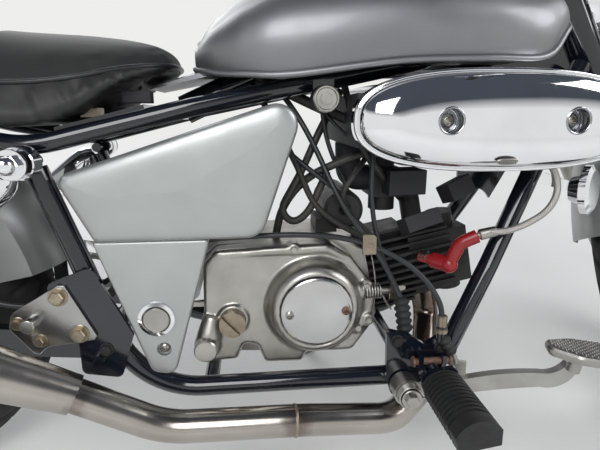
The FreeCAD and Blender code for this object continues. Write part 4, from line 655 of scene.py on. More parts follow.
def rounded(corners: tuple[Point, ...], inset: float = 0.0, steps: int = 6) -> list[Flat]:
    """A polygon with rounded corners, drawn in by an inset.

    Args:
        corners: (x, y, radius) of each corner.
        inset: How far the outline is drawn in.
        steps: How many pieces each corner's arc has.

    Returns:
        The outline's points.
    """
    flats = [Vector(corner[:2]) for corner in corners]
    pairs = list(zip(flats, flats[1:] + flats[:1]))
    side = math.copysign(1, sum(a.x * b.y - b.x * a.y for a, b in pairs))
    edges = []
    for start, end in pairs:
        along = (end - start).normalized()
        edges.append((start + Vector((-along.y, along.x)) * side * inset, along))
    outline = []
    for number, (after, b) in enumerate(edges):
        before, a = edges[number - 1]
        cross, gap = a.x * b.y - a.y * b.x, after - before
        way = math.copysign(1, cross)
        radius = max(0.4, corners[number][2] - inset * way * side)
        bend = math.acos(max(-1.0, min(1.0, a.dot(b))))
        first = before + a * ((gap.x * b.y - gap.y * b.x) / cross - radius * math.tan(bend / 2))
        centre = first + Vector((-a.y, a.x)) * way * radius
        outline += [tuple(centre + Matrix.Rotation(way * bend * n / steps, 2) @ (first - centre))
                    for n in range(steps + 1)]
    return outline


def stand(name: str, data: bpy.types.ID) -> bpy.types.Object:
    """Put a new object into the scene.

    Args:
        name: Its name.
        data: Its mesh, camera or light.

    Returns:
        The object.
    """
    made = bpy.data.objects.new(name, data)
    bpy.context.scene.collection.objects.link(made)
    return made


def change(made: bpy.types.Object, kind: str, **settings: object) -> bpy.types.Modifier:
    """Add a modifier to an object.

    Args:
        made: The object.
        kind: The modifier's type.
        settings: Its settings.

    Returns:
        The modifier.
    """
    modifier = made.modifiers.new(kind.lower(), kind)
    for name, value in settings.items():
        setattr(modifier, name, value)
    return modifier


def bake(made: bpy.types.Object) -> None:
    """Turn an object's modifiers into its own mesh.

    Args:
        made: The object.
    """
    graph = bpy.context.evaluated_depsgraph_get()
    mesh = bpy.data.meshes.new_from_object(made.evaluated_get(graph))
    made.modifiers.clear()
    made.data = mesh


def helix(centre: Point, axis: Point, radius: float, length: float, turns: float) -> list[Vector]:
    """The centre line of a coil spring.

    Args:
        centre: Where the coil starts.
        axis: The direction that it runs in.
        radius: The coil's radius to the middle of the wire.
        length: How far it runs.
        turns: How many times it goes round.

    Returns:
        The line's points.
    """
    place = facing(centre, axis, X if abs(Vector(axis).normalized().z) > 0.9 else Z)
    count = int(turns * 20)
    return [place @ Vector((radius * math.cos(math.tau * turns * n / count),
                            radius * math.sin(math.tau * turns * n / count), length * n / count))
            for n in range(count + 1)]


class Head(Enum):
    """The heads of the machine's fasteners."""

    HEX = "hex"
    CROSS = "cross recess"
    SOCKET = "socket button"
    ACORN = "acorn nut"


class Assembly:
    """What every sub-assembly can do: make pieces, cut them, melt them and set fasteners."""

    fasteners: ClassVar[dict[tuple[Palette, str], Form]] = {}

    def piece(self, form: Form, name: str, finish: Palette, body: str = "chassis", bevel: float = 0.0,
              crease: float = 40.0, replaces: str = "") -> bpy.types.Object:
        """Make an object from a form. What rides the steering or the front wheel was drawn straight ahead.

        Args:
            form: The drawn mesh.
            name: The piece's name.
            finish: Its finish.
            body: The body that it rides on.
            bevel: The rounding of its edges, in millimetres.
            crease: Edges sharper than this many degrees stay sharp.
            replaces: The node that it stands for, if any.

        Returns:
            The object.
        """
        bmesh.ops.remove_doubles(form.mesh, verts=form.mesh.verts, dist=0.005)
        bmesh.ops.recalc_face_normals(form.mesh, faces=form.mesh.faces)
        form.mesh.transform(STEERED if body in TURNING else UPRIGHT)
        mesh = bpy.data.meshes.new(name)
        form.mesh.to_mesh(mesh)
        form.mesh.free()
        made = stand(name, mesh)
        mesh.materials.append(finish.value.material())
        mesh.shade_smooth()
        if bevel:
            change(made, "BEVEL", width=bevel * MM, segments=3, limit_method="ANGLE",
                   angle_limit=math.radians(crease), harden_normals=True)
        mesh.set_sharp_from_angle(angle=math.radians(crease))
        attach(made, body)
        if replaces:
            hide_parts(replaces)
        LOG.info("%s: %d faces, %s, on %s", name, len(mesh.polygons), finish.value.name, body)
        return made

    def bore(self, made: bpy.types.Object, cutter: Form, crease: float) -> None:
        """Cut a form out of a piece.

        Args:
            made: The piece.
            cutter: What is cut away.
            crease: Edges sharper than this many degrees stay sharp.
        """
        bmesh.ops.recalc_face_normals(cutter.mesh, faces=cutter.mesh.faces)
        cutter.mesh.transform(UPRIGHT)
        mesh = bpy.data.meshes.new("cutter")
        cutter.mesh.to_mesh(mesh)
        cutter.mesh.free()
        tool = stand("cutter", mesh)
        change(made, "BOOLEAN", object=tool, solver="EXACT")
        bake(made)
        bpy.data.objects.remove(tool)
        made.data.set_sharp_from_angle(angle=math.radians(crease))

    def cast(self, made: bpy.types.Object, grid: float, rounds: int) -> None:
        """Run a piece's overlapping solids into one soft-edged casting.

        Args:
            made: The piece.
            grid: The fineness of its new mesh, in millimetres.
            rounds: How often it is smoothed.
        """
        change(made, "REMESH", mode="VOXEL", voxel_size=grid * MM, use_smooth_shade=True)
        change(made, "SMOOTH", iterations=rounds, factor=0.5)
        bake(made)
        made.data.shade_smooth()

    def bolt(self, head: Head, centre: Point | Vector, axis: Point | Vector, radius: float,
             finish: Palette = Palette.ZINC, body: str = "chassis", washer: float = 0.0) -> None:
        """Add one fastener.

        Args:
            head: Its kind of head.
            centre: The middle of its seat.
            axis: The way it faces.
            radius: The head's radius.
            finish: Its finish.
            body: The body that it rides on.
            washer: A washer's radius, or 0 for none.
        """
        form = self.fasteners.setdefault((finish, body), Form())
        line = Vector(axis).normalized()
        place = facing(centre, line, (1, 0, 0.2) if abs(line.z) > 0.9 else (0, 0.1, 1))
        tall = radius * 0.7
        if washer:
            form.turned([(-0.6, washer), (1.0, washer), (1.3, washer - 0.4)], centre, axis, 28)
            place = place @ Matrix.Translation((0, 0, 1.2))
        if head in (Head.HEX, Head.ACORN):
            form.rings([[place @ Vector((x, y, level)) for x, y in circle(radius * size, 6)]
                        for level, size in ((-0.6, 1.0), (tall * 0.8, 1.0), (tall, 0.86))])
        if head is Head.ACORN:
            form.relief(place @ Matrix.Translation((0, 0, tall)), radius * 0.84,
                        lambda x, y: radius * 0.75 * math.sqrt(max(0.0, 1 - (x * x + y * y) / (radius * 0.85) ** 2)))
        if head is Head.CROSS:
            form.relief(place, radius, lambda x, y: tall * (0.85 - 0.55 * (x * x + y * y) / radius ** 2)
                        - (tall * 0.5 if min(abs(x), abs(y)) < radius * 0.13 and max(abs(x), abs(y)) < radius * 0.56
                           else 0.0), 40, 14)
        if head is Head.SOCKET:
            form.relief(place, radius, lambda x, y: tall * (0.95 - 0.75 * (x * x + y * y) / radius ** 2)
                        - (tall * 0.6 if max(abs(x), abs(x / 2 + y * 0.866), abs(x / 2 - y * 0.866)) < radius * 0.4
                           else 0.0), 36, 12)


@dataclass
class Studio:
    """The plain floor, the soft lights and the camera at the photograph's viewing angle."""

    backdrop: Point = (0.90, 0.90, 0.89)
    overhead: Point = (0.07, 0.08, 0.10)
    strength: float = 0.95
    fade: Flat = (1.3, 3.4)
    horizon: float = 0.28
    zenith: float = 0.48
    eye: Point = (-86, -640, 519)
    yaw: float = 5.7
    pitch: float = 13.7
    lens: float = 27.0

    def build(self) -> None:
        """Make the floor, world, lights and camera."""
        self.camera()
        self.floor()
        self.world()
        self.lamps()

    def camera(self) -> None:
        """Stand the camera beside the engine, level with the machine and looking a little down."""
        yaw, pitch = math.radians(self.yaw), math.radians(self.pitch)
        look = Vector((math.sin(yaw) * math.cos(pitch), math.cos(yaw) * math.cos(pitch), -math.sin(pitch)))
        turn = UPRIGHT.to_3x3().normalized() @ look.to_track_quat("-Z", "Y").to_matrix()
        data = bpy.data.cameras.new("camera")
        data.lens = self.lens
        data.sensor_width = 36.0
        data.clip_start = 0.02
        made = stand("camera", data)
        made.matrix_world = Matrix.Translation(UPRIGHT @ Vector(self.eye)) @ turn.to_4x4()
        bpy.context.scene.camera = made

    def sight(self, nodes: Nodes) -> bpy.types.NodeSocket:
        """A socket that is 1 for what the camera sees, also in metal and through glass.

        Args:
            nodes: The node tree that it is for.

        Returns:
            The socket.
        """
        rays = nodes.add("ShaderNodeLightPath").outputs
        seen = rays["Is Camera Ray"]
        for kind in ("Is Glossy Ray", "Is Transmission Ray"):
            seen = nodes.add("ShaderNodeMath", seen, rays[kind], operation="MAXIMUM").outputs[0]
        return seen

    def floor(self) -> None:
        """A wide pale floor that keeps the machine's shadow and runs into the backdrop far away."""
        bpy.ops.mesh.primitive_plane_add(size=40)
        made = bpy.context.object
        made.name = "floor"
        nodes = Nodes(bpy.data.materials.new("pale_floor"))
        clouds = nodes.between(nodes.noise(3.0, 3.0), 0, 1)
        nodes.paint(Base_Color=nodes.mix(clouds, (0.84, 0.84, 0.83), (0.81, 0.81, 0.80)), Roughness=0.8)
        reach = nodes.add("ShaderNodeVectorMath", nodes.place(), operation="LENGTH").outputs["Value"]
        far = nodes.add("ShaderNodeMath", nodes.between(reach, 0.0, 1.0, *self.fade), self.sight(nodes),
                        operation="MULTIPLY")
        pale = nodes.add("ShaderNodeEmission", (*self.backdrop, 1), self.strength)
        near = nodes.tree.nodes["Principled BSDF"]
        mixed = nodes.add("ShaderNodeMixShader", far.outputs[0], near.outputs[0], pale.outputs[0])
        nodes.end(mixed.outputs[0])
        made.data.materials.append(nodes.owner)

    def world(self) -> None:
        """A pale surround, darker overhead for what chrome reflects."""
        world = bpy.data.worlds.new("studio")
        bpy.context.scene.world = world
        nodes = Nodes(world)
        back = nodes.tree.nodes["Background"]
        back.inputs["Color"].default_value = (0.80, 0.82, 0.85, 1)
        back.inputs["Strength"].default_value = 0.55
        rise = nodes.add("ShaderNodeSeparateXYZ", nodes.place("Generated")).outputs["Z"]
        shade = nodes.mix(nodes.between(rise, 0.0, 1.0, self.horizon, self.zenith), self.backdrop, self.overhead)
        seen = nodes.add("ShaderNodeBackground", shade, self.strength)
        mixed = nodes.add("ShaderNodeMixShader", self.sight(nodes), back.outputs[0], seen.outputs[0])
        nodes.end(mixed.outputs[0])
        bpy.context.scene.view_settings.view_transform = "Standard"

    def lamps(self) -> None:
        """Three soft lamps: over the right side, high in front, and low behind."""
        rows = (
            # name, place, aim, size, power
            ("key", (-0.7, -2.4, 2.6), (0, 0, 0.5), 1.8, 60.0),
            ("front", (2.6, -0.6, 2.2), (0.1, 0, 0.5), 1.4, 34.0),
            ("back", (-1.4, 2.6, 2.4), (0, 0, 0.5), 2.2, 40.0),
        )
        for name, place, aim, size, power in rows:
            data = bpy.data.lights.new(name, "AREA")
            data.size = size
            data.energy = power
            made = stand(name, data)
            made.location = place
            made.rotation_euler = (Vector(place) - Vector(aim)).to_track_quat("Z", "Y").to_euler()


# Saddle


@dataclass
class Saddle(Assembly):
    """The padded saddle: its cover swells over the foam and gathers along the skirt."""

    voxel: float = 0.008
    inset: float = 0.0035
    cap: float = 0.024
    frames: int = 16
    pressure: float = 4.0
    tension: float = 18.0
    compression: float = 10.0
    hem: float = 14.0
    piping_radius: float = 3.1
    tail_end: float = -700.0
    nose_end: float = -238.0
    seam: tuple[Flat, ...] = ((-177, 580), (-205, 577), (-232, 572), (-276, 560), (-319, 554), (-359, 553),
                              (-400, 557), (-440, 568), (-480, 588), (-520, 610), (-560, 626), (-610, 636),
                              (-665, 640), (-700, 640), (-740, 636))
    wrinkle: float = 2.6
    nose_start: float = -310.0
    nose_length: float = 90.0
    nose_lift: float = 0.5

    def seam_height(self, x: float) -> float:
        """The height of the piping.

        Args:
            x: A place along the saddle.

        Returns:
            The height.
        """
        ordered = sorted(self.seam)
        for (x0, z0), (x1, z1) in zip(ordered, ordered[1:]):
            if x <= x1:
                return z0 + (z1 - z0) * min(1.0, max(0.0, (x - x0) / (x1 - x0)))
        return ordered[-1][1]

    def foam(self) -> bpy.types.Object:
        """A closed, evenly meshed copy of the saddle's solid, drawn in a little.

        Returns:
            The copy.
        """
        made = stand("saddle", frame["nodes"]["seat"].data.copy())
        change(made, "REMESH", mode="VOXEL", voxel_size=self.voxel)
        change(made, "SMOOTH", iterations=6, factor=0.5)
        bake(made)
        for vertex in made.data.vertices:
            vertex.co -= vertex.normal * self.inset
        return made

    def held(self, made: bpy.types.Object) -> list[int]:
        """The points that the seat's base holds: the underside and the skirt's lowest edge.

        Args:
            made: The cover.

        Returns:
            The points' numbers.
        """
        turn = DRAWN.to_3x3().normalized()
        low: dict[int, float] = {}
        for vertex in made.data.vertices:
            point = DRAWN @ vertex.co
            strip = round(point.x / 12)
            low[strip] = min(low.get(strip, 9999.0), point.z)
        names = []
        for vertex in made.data.vertices:
            point = DRAWN @ vertex.co
            if (turn @ vertex.normal).z < -0.5 or point.z < low[round(point.x / 12)] + self.hem:
                names.append(vertex.index)
        return names

    def swell(self, made: bpy.types.Object) -> None:
        """Blow the cover up a little with cloth, its base held, and apply it.

        Args:
            made: The cover.
        """
        before = [vertex.co.copy() for vertex in made.data.vertices]
        group = made.vertex_groups.new(name="base")
        group.add(self.held(made), 1.0, "REPLACE")
        cloth = change(made, "CLOTH")
        cloth.settings.quality = 4
        cloth.settings.vertex_group_mass = "base"
        cloth.settings.use_pressure = True
        cloth.settings.uniform_pressure_force = self.pressure
        cloth.settings.effector_weights.gravity = 0.0
        cloth.settings.tension_stiffness = self.tension
        cloth.settings.compression_stiffness = self.compression
        cloth.collision_settings.use_collision = False
        cloth.collision_settings.use_self_collision = False
        scene = bpy.context.scene
        for number in range(1, self.frames + 1):
            scene.frame_set(number)
        bake(made)
        scene.frame_set(1)
        for vertex, start in zip(made.data.vertices, before):
            moved = vertex.co - start
            if moved.length > self.cap:
                vertex.co = start + moved.normalized() * self.cap

    def gather(self, made: bpy.types.Object) -> None:
        """Draw the skirt up under the nose and press shallow gathers into it.

        Args:
            made: The cover.
        """
        for vertex in made.data.vertices:
            point = DRAWN @ vertex.co
            below = self.seam_height(point.x) - point.z
            if below > 0 and point.x > self.nose_start:
                share = min(1.0, (point.x - self.nose_start) / self.nose_length)
                point.z += below * self.nose_lift * share * share * (3 - 2 * share)
                vertex.co = UPRIGHT @ point
            if below < -2:
                continue
            nose = max(0.0, 1 - abs(point.x + 250) / 120)
            depth = min(1.0, max(0.0, below / 16)) * (0.35 + 0.9 * nose)
            slant = point.x * 0.09 + point.z * 0.05
            folds = noise.noise(Vector((slant, point.z * 0.016, math.copysign(3.0, point.y))))
            fine = noise.noise(Vector((slant * 2.4, point.z * 0.03, math.copysign(7.0, point.y))))
            vertex.co += vertex.normal * (self.wrinkle * depth * (folds * 1.3 + fine * 0.6) * MM)

    def surface(self, made: bpy.types.Object) -> BVHTree:
        """The cover's shape in the drawing's millimetres."""
        return BVHTree.FromPolygons([DRAWN @ vertex.co for vertex in made.data.vertices],
                                    [list(face.vertices) for face in made.data.polygons])

    def seam_line(self, cover: BVHTree) -> list[Vector]:
        """The piping's line round the saddle, on the cover.

        Args:
            cover: The cover's shape.

        Returns:
            The loop's points, from the left side's back round the nose to the right, and round the tail.
        """
        rays = [(x, Y) for x in range(-735, -240, 8)]
        for step in range(25):
            turn = math.radians(90 - 180 * step / 24)
            rays.append((self.nose_end, Vector((math.cos(turn), math.sin(turn), 0))))
        rays += [(x, -Y) for x in range(-241, -736, -8)]
        for step in range(1, 24):
            turn = math.radians(-90 - 180 * step / 24)
            rays.append((self.tail_end, Vector((math.cos(turn), math.sin(turn), 0))))
        line = []
        for x, way in rays:
            middle = Vector((x, 0, self.seam_height(x + way.x * 55)))
            hit = cover.ray_cast(middle + way * 300, -way)[0]
            if hit is not None:
                line.append(hit + way * (self.piping_radius * 0.15))
        for _ in range(4):
            line = [(line[n - 1] + line[n] * 2 + line[(n + 1) % len(line)]) / 4 for n in range(len(line))]
        return line

    def build(self) -> None:
        """Make the cover and its piping."""
        made = self.foam()
        self.swell(made)
        change(made, "SUBSURF", levels=1, render_levels=1)
        bake(made)
        self.gather(made)
        made.data.materials.clear()
        made.data.materials.append(Palette.SEAT.value.material())
        made.data.shade_smooth()
        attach(made, "chassis")
        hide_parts("seat")
        LOG.info("saddle: %d faces", len(made.data.polygons))
        line = self.seam_line(self.surface(made))
        self.piece(Form().tube(line, self.piping_radius, 12, close=True), "saddle_piping", Palette.PIPING, crease=180)


# Engine


@dataclass
class EngineDress(Assembly):
    """What stands on the clutch cover and the cylinder."""

    face: float = -117.0
    crank: Flat = (-12, 276)
    filler: Flat = (-119, 260)
    boss: Flat = (-153.5, 228.5)
    disc: float = 45.6
    slot: float = math.radians(48)
    outline: tuple[Point, ...] = (
        (-157, 262, 20), (-155, 335, 10), (-139, 353, 12), (-80, 357, 30), (8, 359, 20), (35, 342, 16), (66, 300, 12),
        (72, 277, 12), (66, 241, 12), (41, 205, 12), (-23, 205, 5), (-28, 192, 4), (-79, 193, 6), (-88, 219, 7),
        (-105, 225, 8), (-115, 200, 6), (-157, 198, 10))

    def cover(self) -> None:
        """The clutch cover: one casting with its dome, bosses and rim."""
        front = facing((0, 0, 0), -Y)
        form = Form().rings([[front @ Vector((x, z, depth)) for x, z in rounded(self.outline, inset, 4)]
                             for inset, depth in ((0, 62.3), (0, 86.0), (1.4, 88.8), (3.4, 90.0))])
        x, z = self.crank
        form.turned([(66, 0), (66, 66), (88, 69), (91, 66.5), (96, 62.5), (103, 60), (109, 57.5), (113.4, 53.6),
                     (115.8, 50), (116.2, 48.6), (113.6, 47.8), (113.4, 0)], (x, 0, z), -Y, 96)
        for bx, bz, size, high in ((*self.filler, 20.5, 96), (*self.boss, 16.5, 102), (57, 300, 9, 94),
                                   (61, 252, 9, 95), (47, 241, 8.5, 94), (-39, 353, 8, 93)):
            form.turned([(70, 0), (70, size), (high - 1.5, size), (high, size - 1.8), (high, 0)], (bx, 0, bz), -Y, 40)
        form.tube([(-153.5, -95, 230), (-150, -92, 243), (-145, -86, 264)], [16, 15.4, 13], 24)
        form.tube([(14, -86, 292), (40, -89, 292), (54, -90, 292)], [17, 14, 13.4], 28)
        form.tube([(-136, -86, 346), (-80, -87, 350), (4, -87, 352), (28, -86, 338)], [5, 6.4, 7, 5], 16)
        made = self.piece(form, "clutch_cover_casting", Palette.CAST, crease=180, replaces="clutch_cover")
        self.cast(made, grid=1.6, rounds=11)

    def caps(self) -> None:
        """The slotted filler cap and the round boss cap."""
        x, z = self.filler
        across, up = math.sin(self.slot), math.cos(self.slot)
        front = facing((x, 0, z), -Y)
        form = Form().turned([(90, 0), (90, 17), (105, 17), (105, 0)], (x, 0, z), -Y, 72)
        form.relief(front @ Matrix.Translation((0, 0, 105)), 17.0, lambda x, y: 7.0 - 0.006 * (x * x + y * y) - (
            4.6 if abs(x * across + y * up) < 2.5 else 0.0), 96, 26)
        self.piece(form, "filler_cap", Palette.BRONZE)
        form = Form().turned([(100, 0), (100, 15.2), (115.6, 14.8), (117.4, 13.2), (118, 9), (118.2, 0)],
                             (self.boss[0], 0, self.boss[1]), -Y, 56)
        self.piece(form, "boss_cap", Palette.CAST)

    def disc_plate(self) -> None:
        """The polished disc over the crank."""
        x, z = self.crank
        form = Form().turned([(-1.2, self.disc), (0.2, self.disc), (1.0, self.disc - 1.0), (1.7, self.disc - 5),
                              (3.0, self.disc * 0.66), (3.8, self.disc * 0.33), (4.0, 0)], (x, self.face, z), -Y, 96)
        self.piece(form, "crank_disc", Palette.POLISHED, crease=35)

    def lever(self) -> None:
        """The clutch lever's shaft, return spring and clip."""
        form = Form().tube(helix((55, -90, 292), X, 9.6, 22, 6), 1.3, 10)
        form.tube(smooth_path([(77, -99, 290), (84, -98, 276), (90, -92, 268)], 6), 1.3, 10)
        self.piece(form, "lever_spring", Palette.STEEL, crease=60)
        form = Form().block((9, 12, 7), facing((92, -91, 286), -Y))
        self.piece(form, "lever_clip", Palette.ZINC, bevel=1.2)
        form = Form().tube([(50, -90, 292), (96, -90, 292)], 5.0, 20)
        form.prism([(-4, -5), (20, -3), (23, 0), (20, 3), (-4, 5)], 3.2, facing((92, -90, 292), (0.3, -0.9, 0.2)))
        self.piece(form, "lever_shaft", Palette.STEEL, bevel=0.5)

    def knurl(self) -> None:
        """A grip ridge round the filler cap."""
        ridge = Form()
        for x, z in circle(1, 28):
            centre = Vector((self.filler[0] + 16.6 * x, -96, self.filler[1] + 16.6 * z))
            ridge.block((1.7, 10, 1.6), facing(centre, (x, 0, z), Y))
        self.piece(ridge, "filler_knurl", Palette.BRONZE, bevel=0.3)

    def screws(self) -> None:
        """The cover's screws."""
        self.bolt(Head.CROSS, (-47, self.face - 2.6, 275), -Y, 5.4, Palette.STEEL)
        self.bolt(Head.CROSS, (24.6, self.face - 2.6, 278), -Y, 5.4, Palette.RUST)
        for x, z, high in ((-39, 353, 93), (57, 300, 94), (61, 252, 95), (47, 241, 94)):
            self.bolt(Head.HEX, (x, -high, z), -Y, 4.8, Palette.STEEL)

    def plug(self) -> None:
        """The spark plug's ribs."""
        seat = Vector((138.5, -54, 329.5))
        aim = Vector((0.70, -0.71, -0.05)).normalized()
        ribs = Form()
        for number in range(4):
            ribs.turned([(-0.7, 7.2), (-0.4, 8.4), (0.4, 8.4), (0.7, 7.2)], seat + aim * (6 + 3 * number), aim, 24)
        self.piece(ribs, "plug_ribs", Palette.STEEL, crease=50)

    def build(self) -> None:
        """Make the engine's dressing."""
        self.cover()
        self.caps()
        self.disc_plate()
        self.lever()
        self.knurl()
        self.plug()
        self.screws()


# Cables


@dataclass(frozen=True)
class Line:
    """One held cable, hose or wire: its name, finish, radius and route."""

    name: str
    finish: Palette
    radius: float
    route: tuple[Point, ...]


@dataclass
class Cables(Assembly):
    """The held cables and hoses round the engine, with their boots, clamps and ferrules."""

    lines: tuple[Line, ...] = (
        Line("clutch_cable", Palette.CABLE, 3.6, (
            (-60, -30, 560), (-30, -46, 520), (-6, -62, 474), (12, -80, 430), (36, -92, 388), (58, -95, 362),
            (74, -98, 338), (88, -104, 312), (98, -112, 288))),
        Line("lever_wire", Palette.STEEL, 0.9, ((61, -98, 342), (66, -95, 322), (69, -92, 303))),
        Line("switch_wire", Palette.CABLE, 3.0, (
            (0, -58, 528), (4, -56, 500), (14, -50, 470), (30, -44, 440), (44, -38, 408))),
        Line("fuel_pipe", Palette.HOSE, 4.6, (
            (30, -34, 566), (36, -48, 536), (40, -60, 500), (60, -62, 466), (84, -48, 440), (92, -34, 430))),
        Line("vacuum_pipe", Palette.HOSE, 3.8, (
            (66, -40, 468), (44, -66, 446), (24, -70, 420), (34, -60, 392), (58, -50, 372), (76, -44, 352))),
        Line("breather_pipe", Palette.HOSE, 5.4, (
            (-60, -40, 356), (-52, -48, 400), (-20, -52, 440), (30, -56, 462), (66, -52, 474))),
        Line("starter_wire", Palette.CABLE, 3.4, (
            (34, -58, 404), (20, -68, 424), (-10, -66, 446), (-40, -54, 470), (-70, -44, 500))),
        Line("loop_hose", Palette.HOSE, 5.0, (
            (20, -34, 536), (-4, -46, 494), (-24, -58, 452), (-40, -60, 424), (-55, -62, 398), (-38, -62, 379),
            (-16, -60, 394), (0, -58, 430))),
        Line("drain_hose", Palette.HOSE, 4.2, (
            (-76, -30, 540), (-52, -48, 496), (-30, -62, 452), (-13, -62, 408), (14, -64, 383), (44, -60, 366))),
        Line("choke_cable", Palette.CABLE, 3.2, (
            (70, -34, 540), (68, -56, 510), (66, -70, 476), (62, -76, 412), (74, -86, 347), (92, -96, 300),
            (106, -100, 262), (112, -96, 226))),
        Line("loom", Palette.HOSE, 7.0, (
            (-60, -34, 556), (0, -40, 528), (50, -34, 508), (110, -26, 506), (190, -20, 520))),
        Line("coil_wire", Palette.CABLE, 2.6, (
            (226, -20, 486), (196, -28, 470), (160, -40, 462), (120, -46, 452), (80, -50, 466), (40, -48, 486),
            (6, -50, 520))),
    )

    def boot(self, name: str, start: Point, end: Point, radius: float, ridges: int) -> None:
        """A bellows boot between two points.

        Args:
            name: Its name.
            start: Its upper end.
            end: Its lower end.
            radius: Its largest radius.
            ridges: How many ridges it has.
        """
        axis = Vector(end) - Vector(start)
        pitch = axis.length / ridges
        profile = [(-2.0, radius * 0.55)]
        for number in range(ridges):
            low = number * pitch
            profile += [(low + pitch * 0.15, radius * 0.78), (low + pitch * 0.4, radius), (low + pitch * 0.6, radius),
                        (low + pitch * 0.9, radius * 0.8)]
        profile.append((axis.length + 1.5, radius * 0.6))
        self.piece(Form().turned(profile, start, axis, 28), name, Palette.RUBBER, crease=70)

    def fittings(self) -> None:
        """Boots, ferrules, rods and the tan clamp."""
        self.boot("clutch_boot", (98, -112, 289), (104, -118, 246), 10.5, 5)
        self.boot("brake_boot", (148, -136, 243), (160, -140, 224), 8.5, 3)
        form = Form().turned([(-8, 5.2), (-7, 6.4), (6, 6.4), (7, 5.4), (9, 5.4), (10, 7.6), (15, 7.6), (16, 5)],
                             (146, -134, 265), (0, -0.03, -1), 24)
        self.piece(form, "cable_adjuster", Palette.BRONZE)
        form = Form().tube([(160, -140, 226), (166, -142, 210)], 3.0, 12)
        form.tube([(104, -118, 248), (108, -122, 222)], 2.6, 12)
        self.piece(form, "cable_rods", Palette.STEEL)
        form = Form().block((20, 28, 4), facing((168, -143, 199), (-0.30, -0.9, 0.2)))
        form.turned([(-3, 7), (4, 7), (5, 6)], (108, -121, 219), -Y, 24)
        self.piece(form, "cable_clevis", Palette.STEEL, bevel=1.4)
        form = Form().prism([(-9, -13), (9, -13), (9, 9), (5, 13), (-9, 13)], 3.2,
                            facing((55, -107.5, 361), (0.06, -1, 0.05)))
        form.turned([(-6, 7.6), (6, 7.6)], (55, -102.2, 360), (0.97, -0.05, -0.24), 24)
        self.piece(form, "cable_clamp", Palette.BRONZE, bevel=0.8)
        form = Form().turned([(-1, 6.4), (0, 7.4), (20, 6.8), (21, 5.4)], (206, -95, 366.6), (0.95, -0.16, 0.26), 24)
        self.piece(form, "lead_ferrule", Palette.STEEL)

    def lead(self) -> None:
        """The plug lead in its woven steel sleeve."""
        route = [(202, -95.5, 365), (216, -99, 372), (236, -104, 372), (262, -108, 383), (287, -108, 399),
                 (300, -105, 420), (299, -101, 442), (288, -97, 462), (268, -88, 477), (250, -77, 484),
                 (248, -57, 485)]
        form = Form().tube(smooth_path(route, 8), 4.3, 14).unwrap()
        self.piece(form, "braided_lead", Palette.BRAID, crease=80, replaces="plug_lead")

    def boxes(self) -> None:
        """The dark ribbed boxes and the switch's steel face in the engine bay."""
        form = Form().block((54, 34, 44), facing((118, -30, 430), (0.1, -1, 0)))
        form.block((40, 26, 30), facing((196, -34, 418), (0.2, -1, 0.3), (-0.4, 0, 1)))
        form.block((52, 22, 30), facing((136, -60, 378), (0.1, -1, 0.4), (-0.25, 0, 1)))
        for step in range(5):
            form.block((52, 3, 3), facing((119, -48, 414 + step * 8), (0.1, -1, 0)))
        self.piece(form, "engine_boxes", Palette.PLASTIC, bevel=2.2)
        form = Form().turned([(-1, 16), (1.2, 16), (2.4, 14.6), (2.4, 13), (0.6, 12), (0.6, 7.4), (1.6, 7), (1.8, 0)],
                             (0, -94.2, 538), -Y, 56)
        self.piece(form, "switch_face", Palette.STEEL, crease=35)

    def build(self) -> None:
        """Make the cables and what is on them."""
        for line in self.lines:
            self.piece(Form().tube(smooth_path(line.route, 7), line.radius, 12), line.name, line.finish, crease=70)
        self.fittings()
        self.lead()
        self.boxes()


# Exhaust and running gear


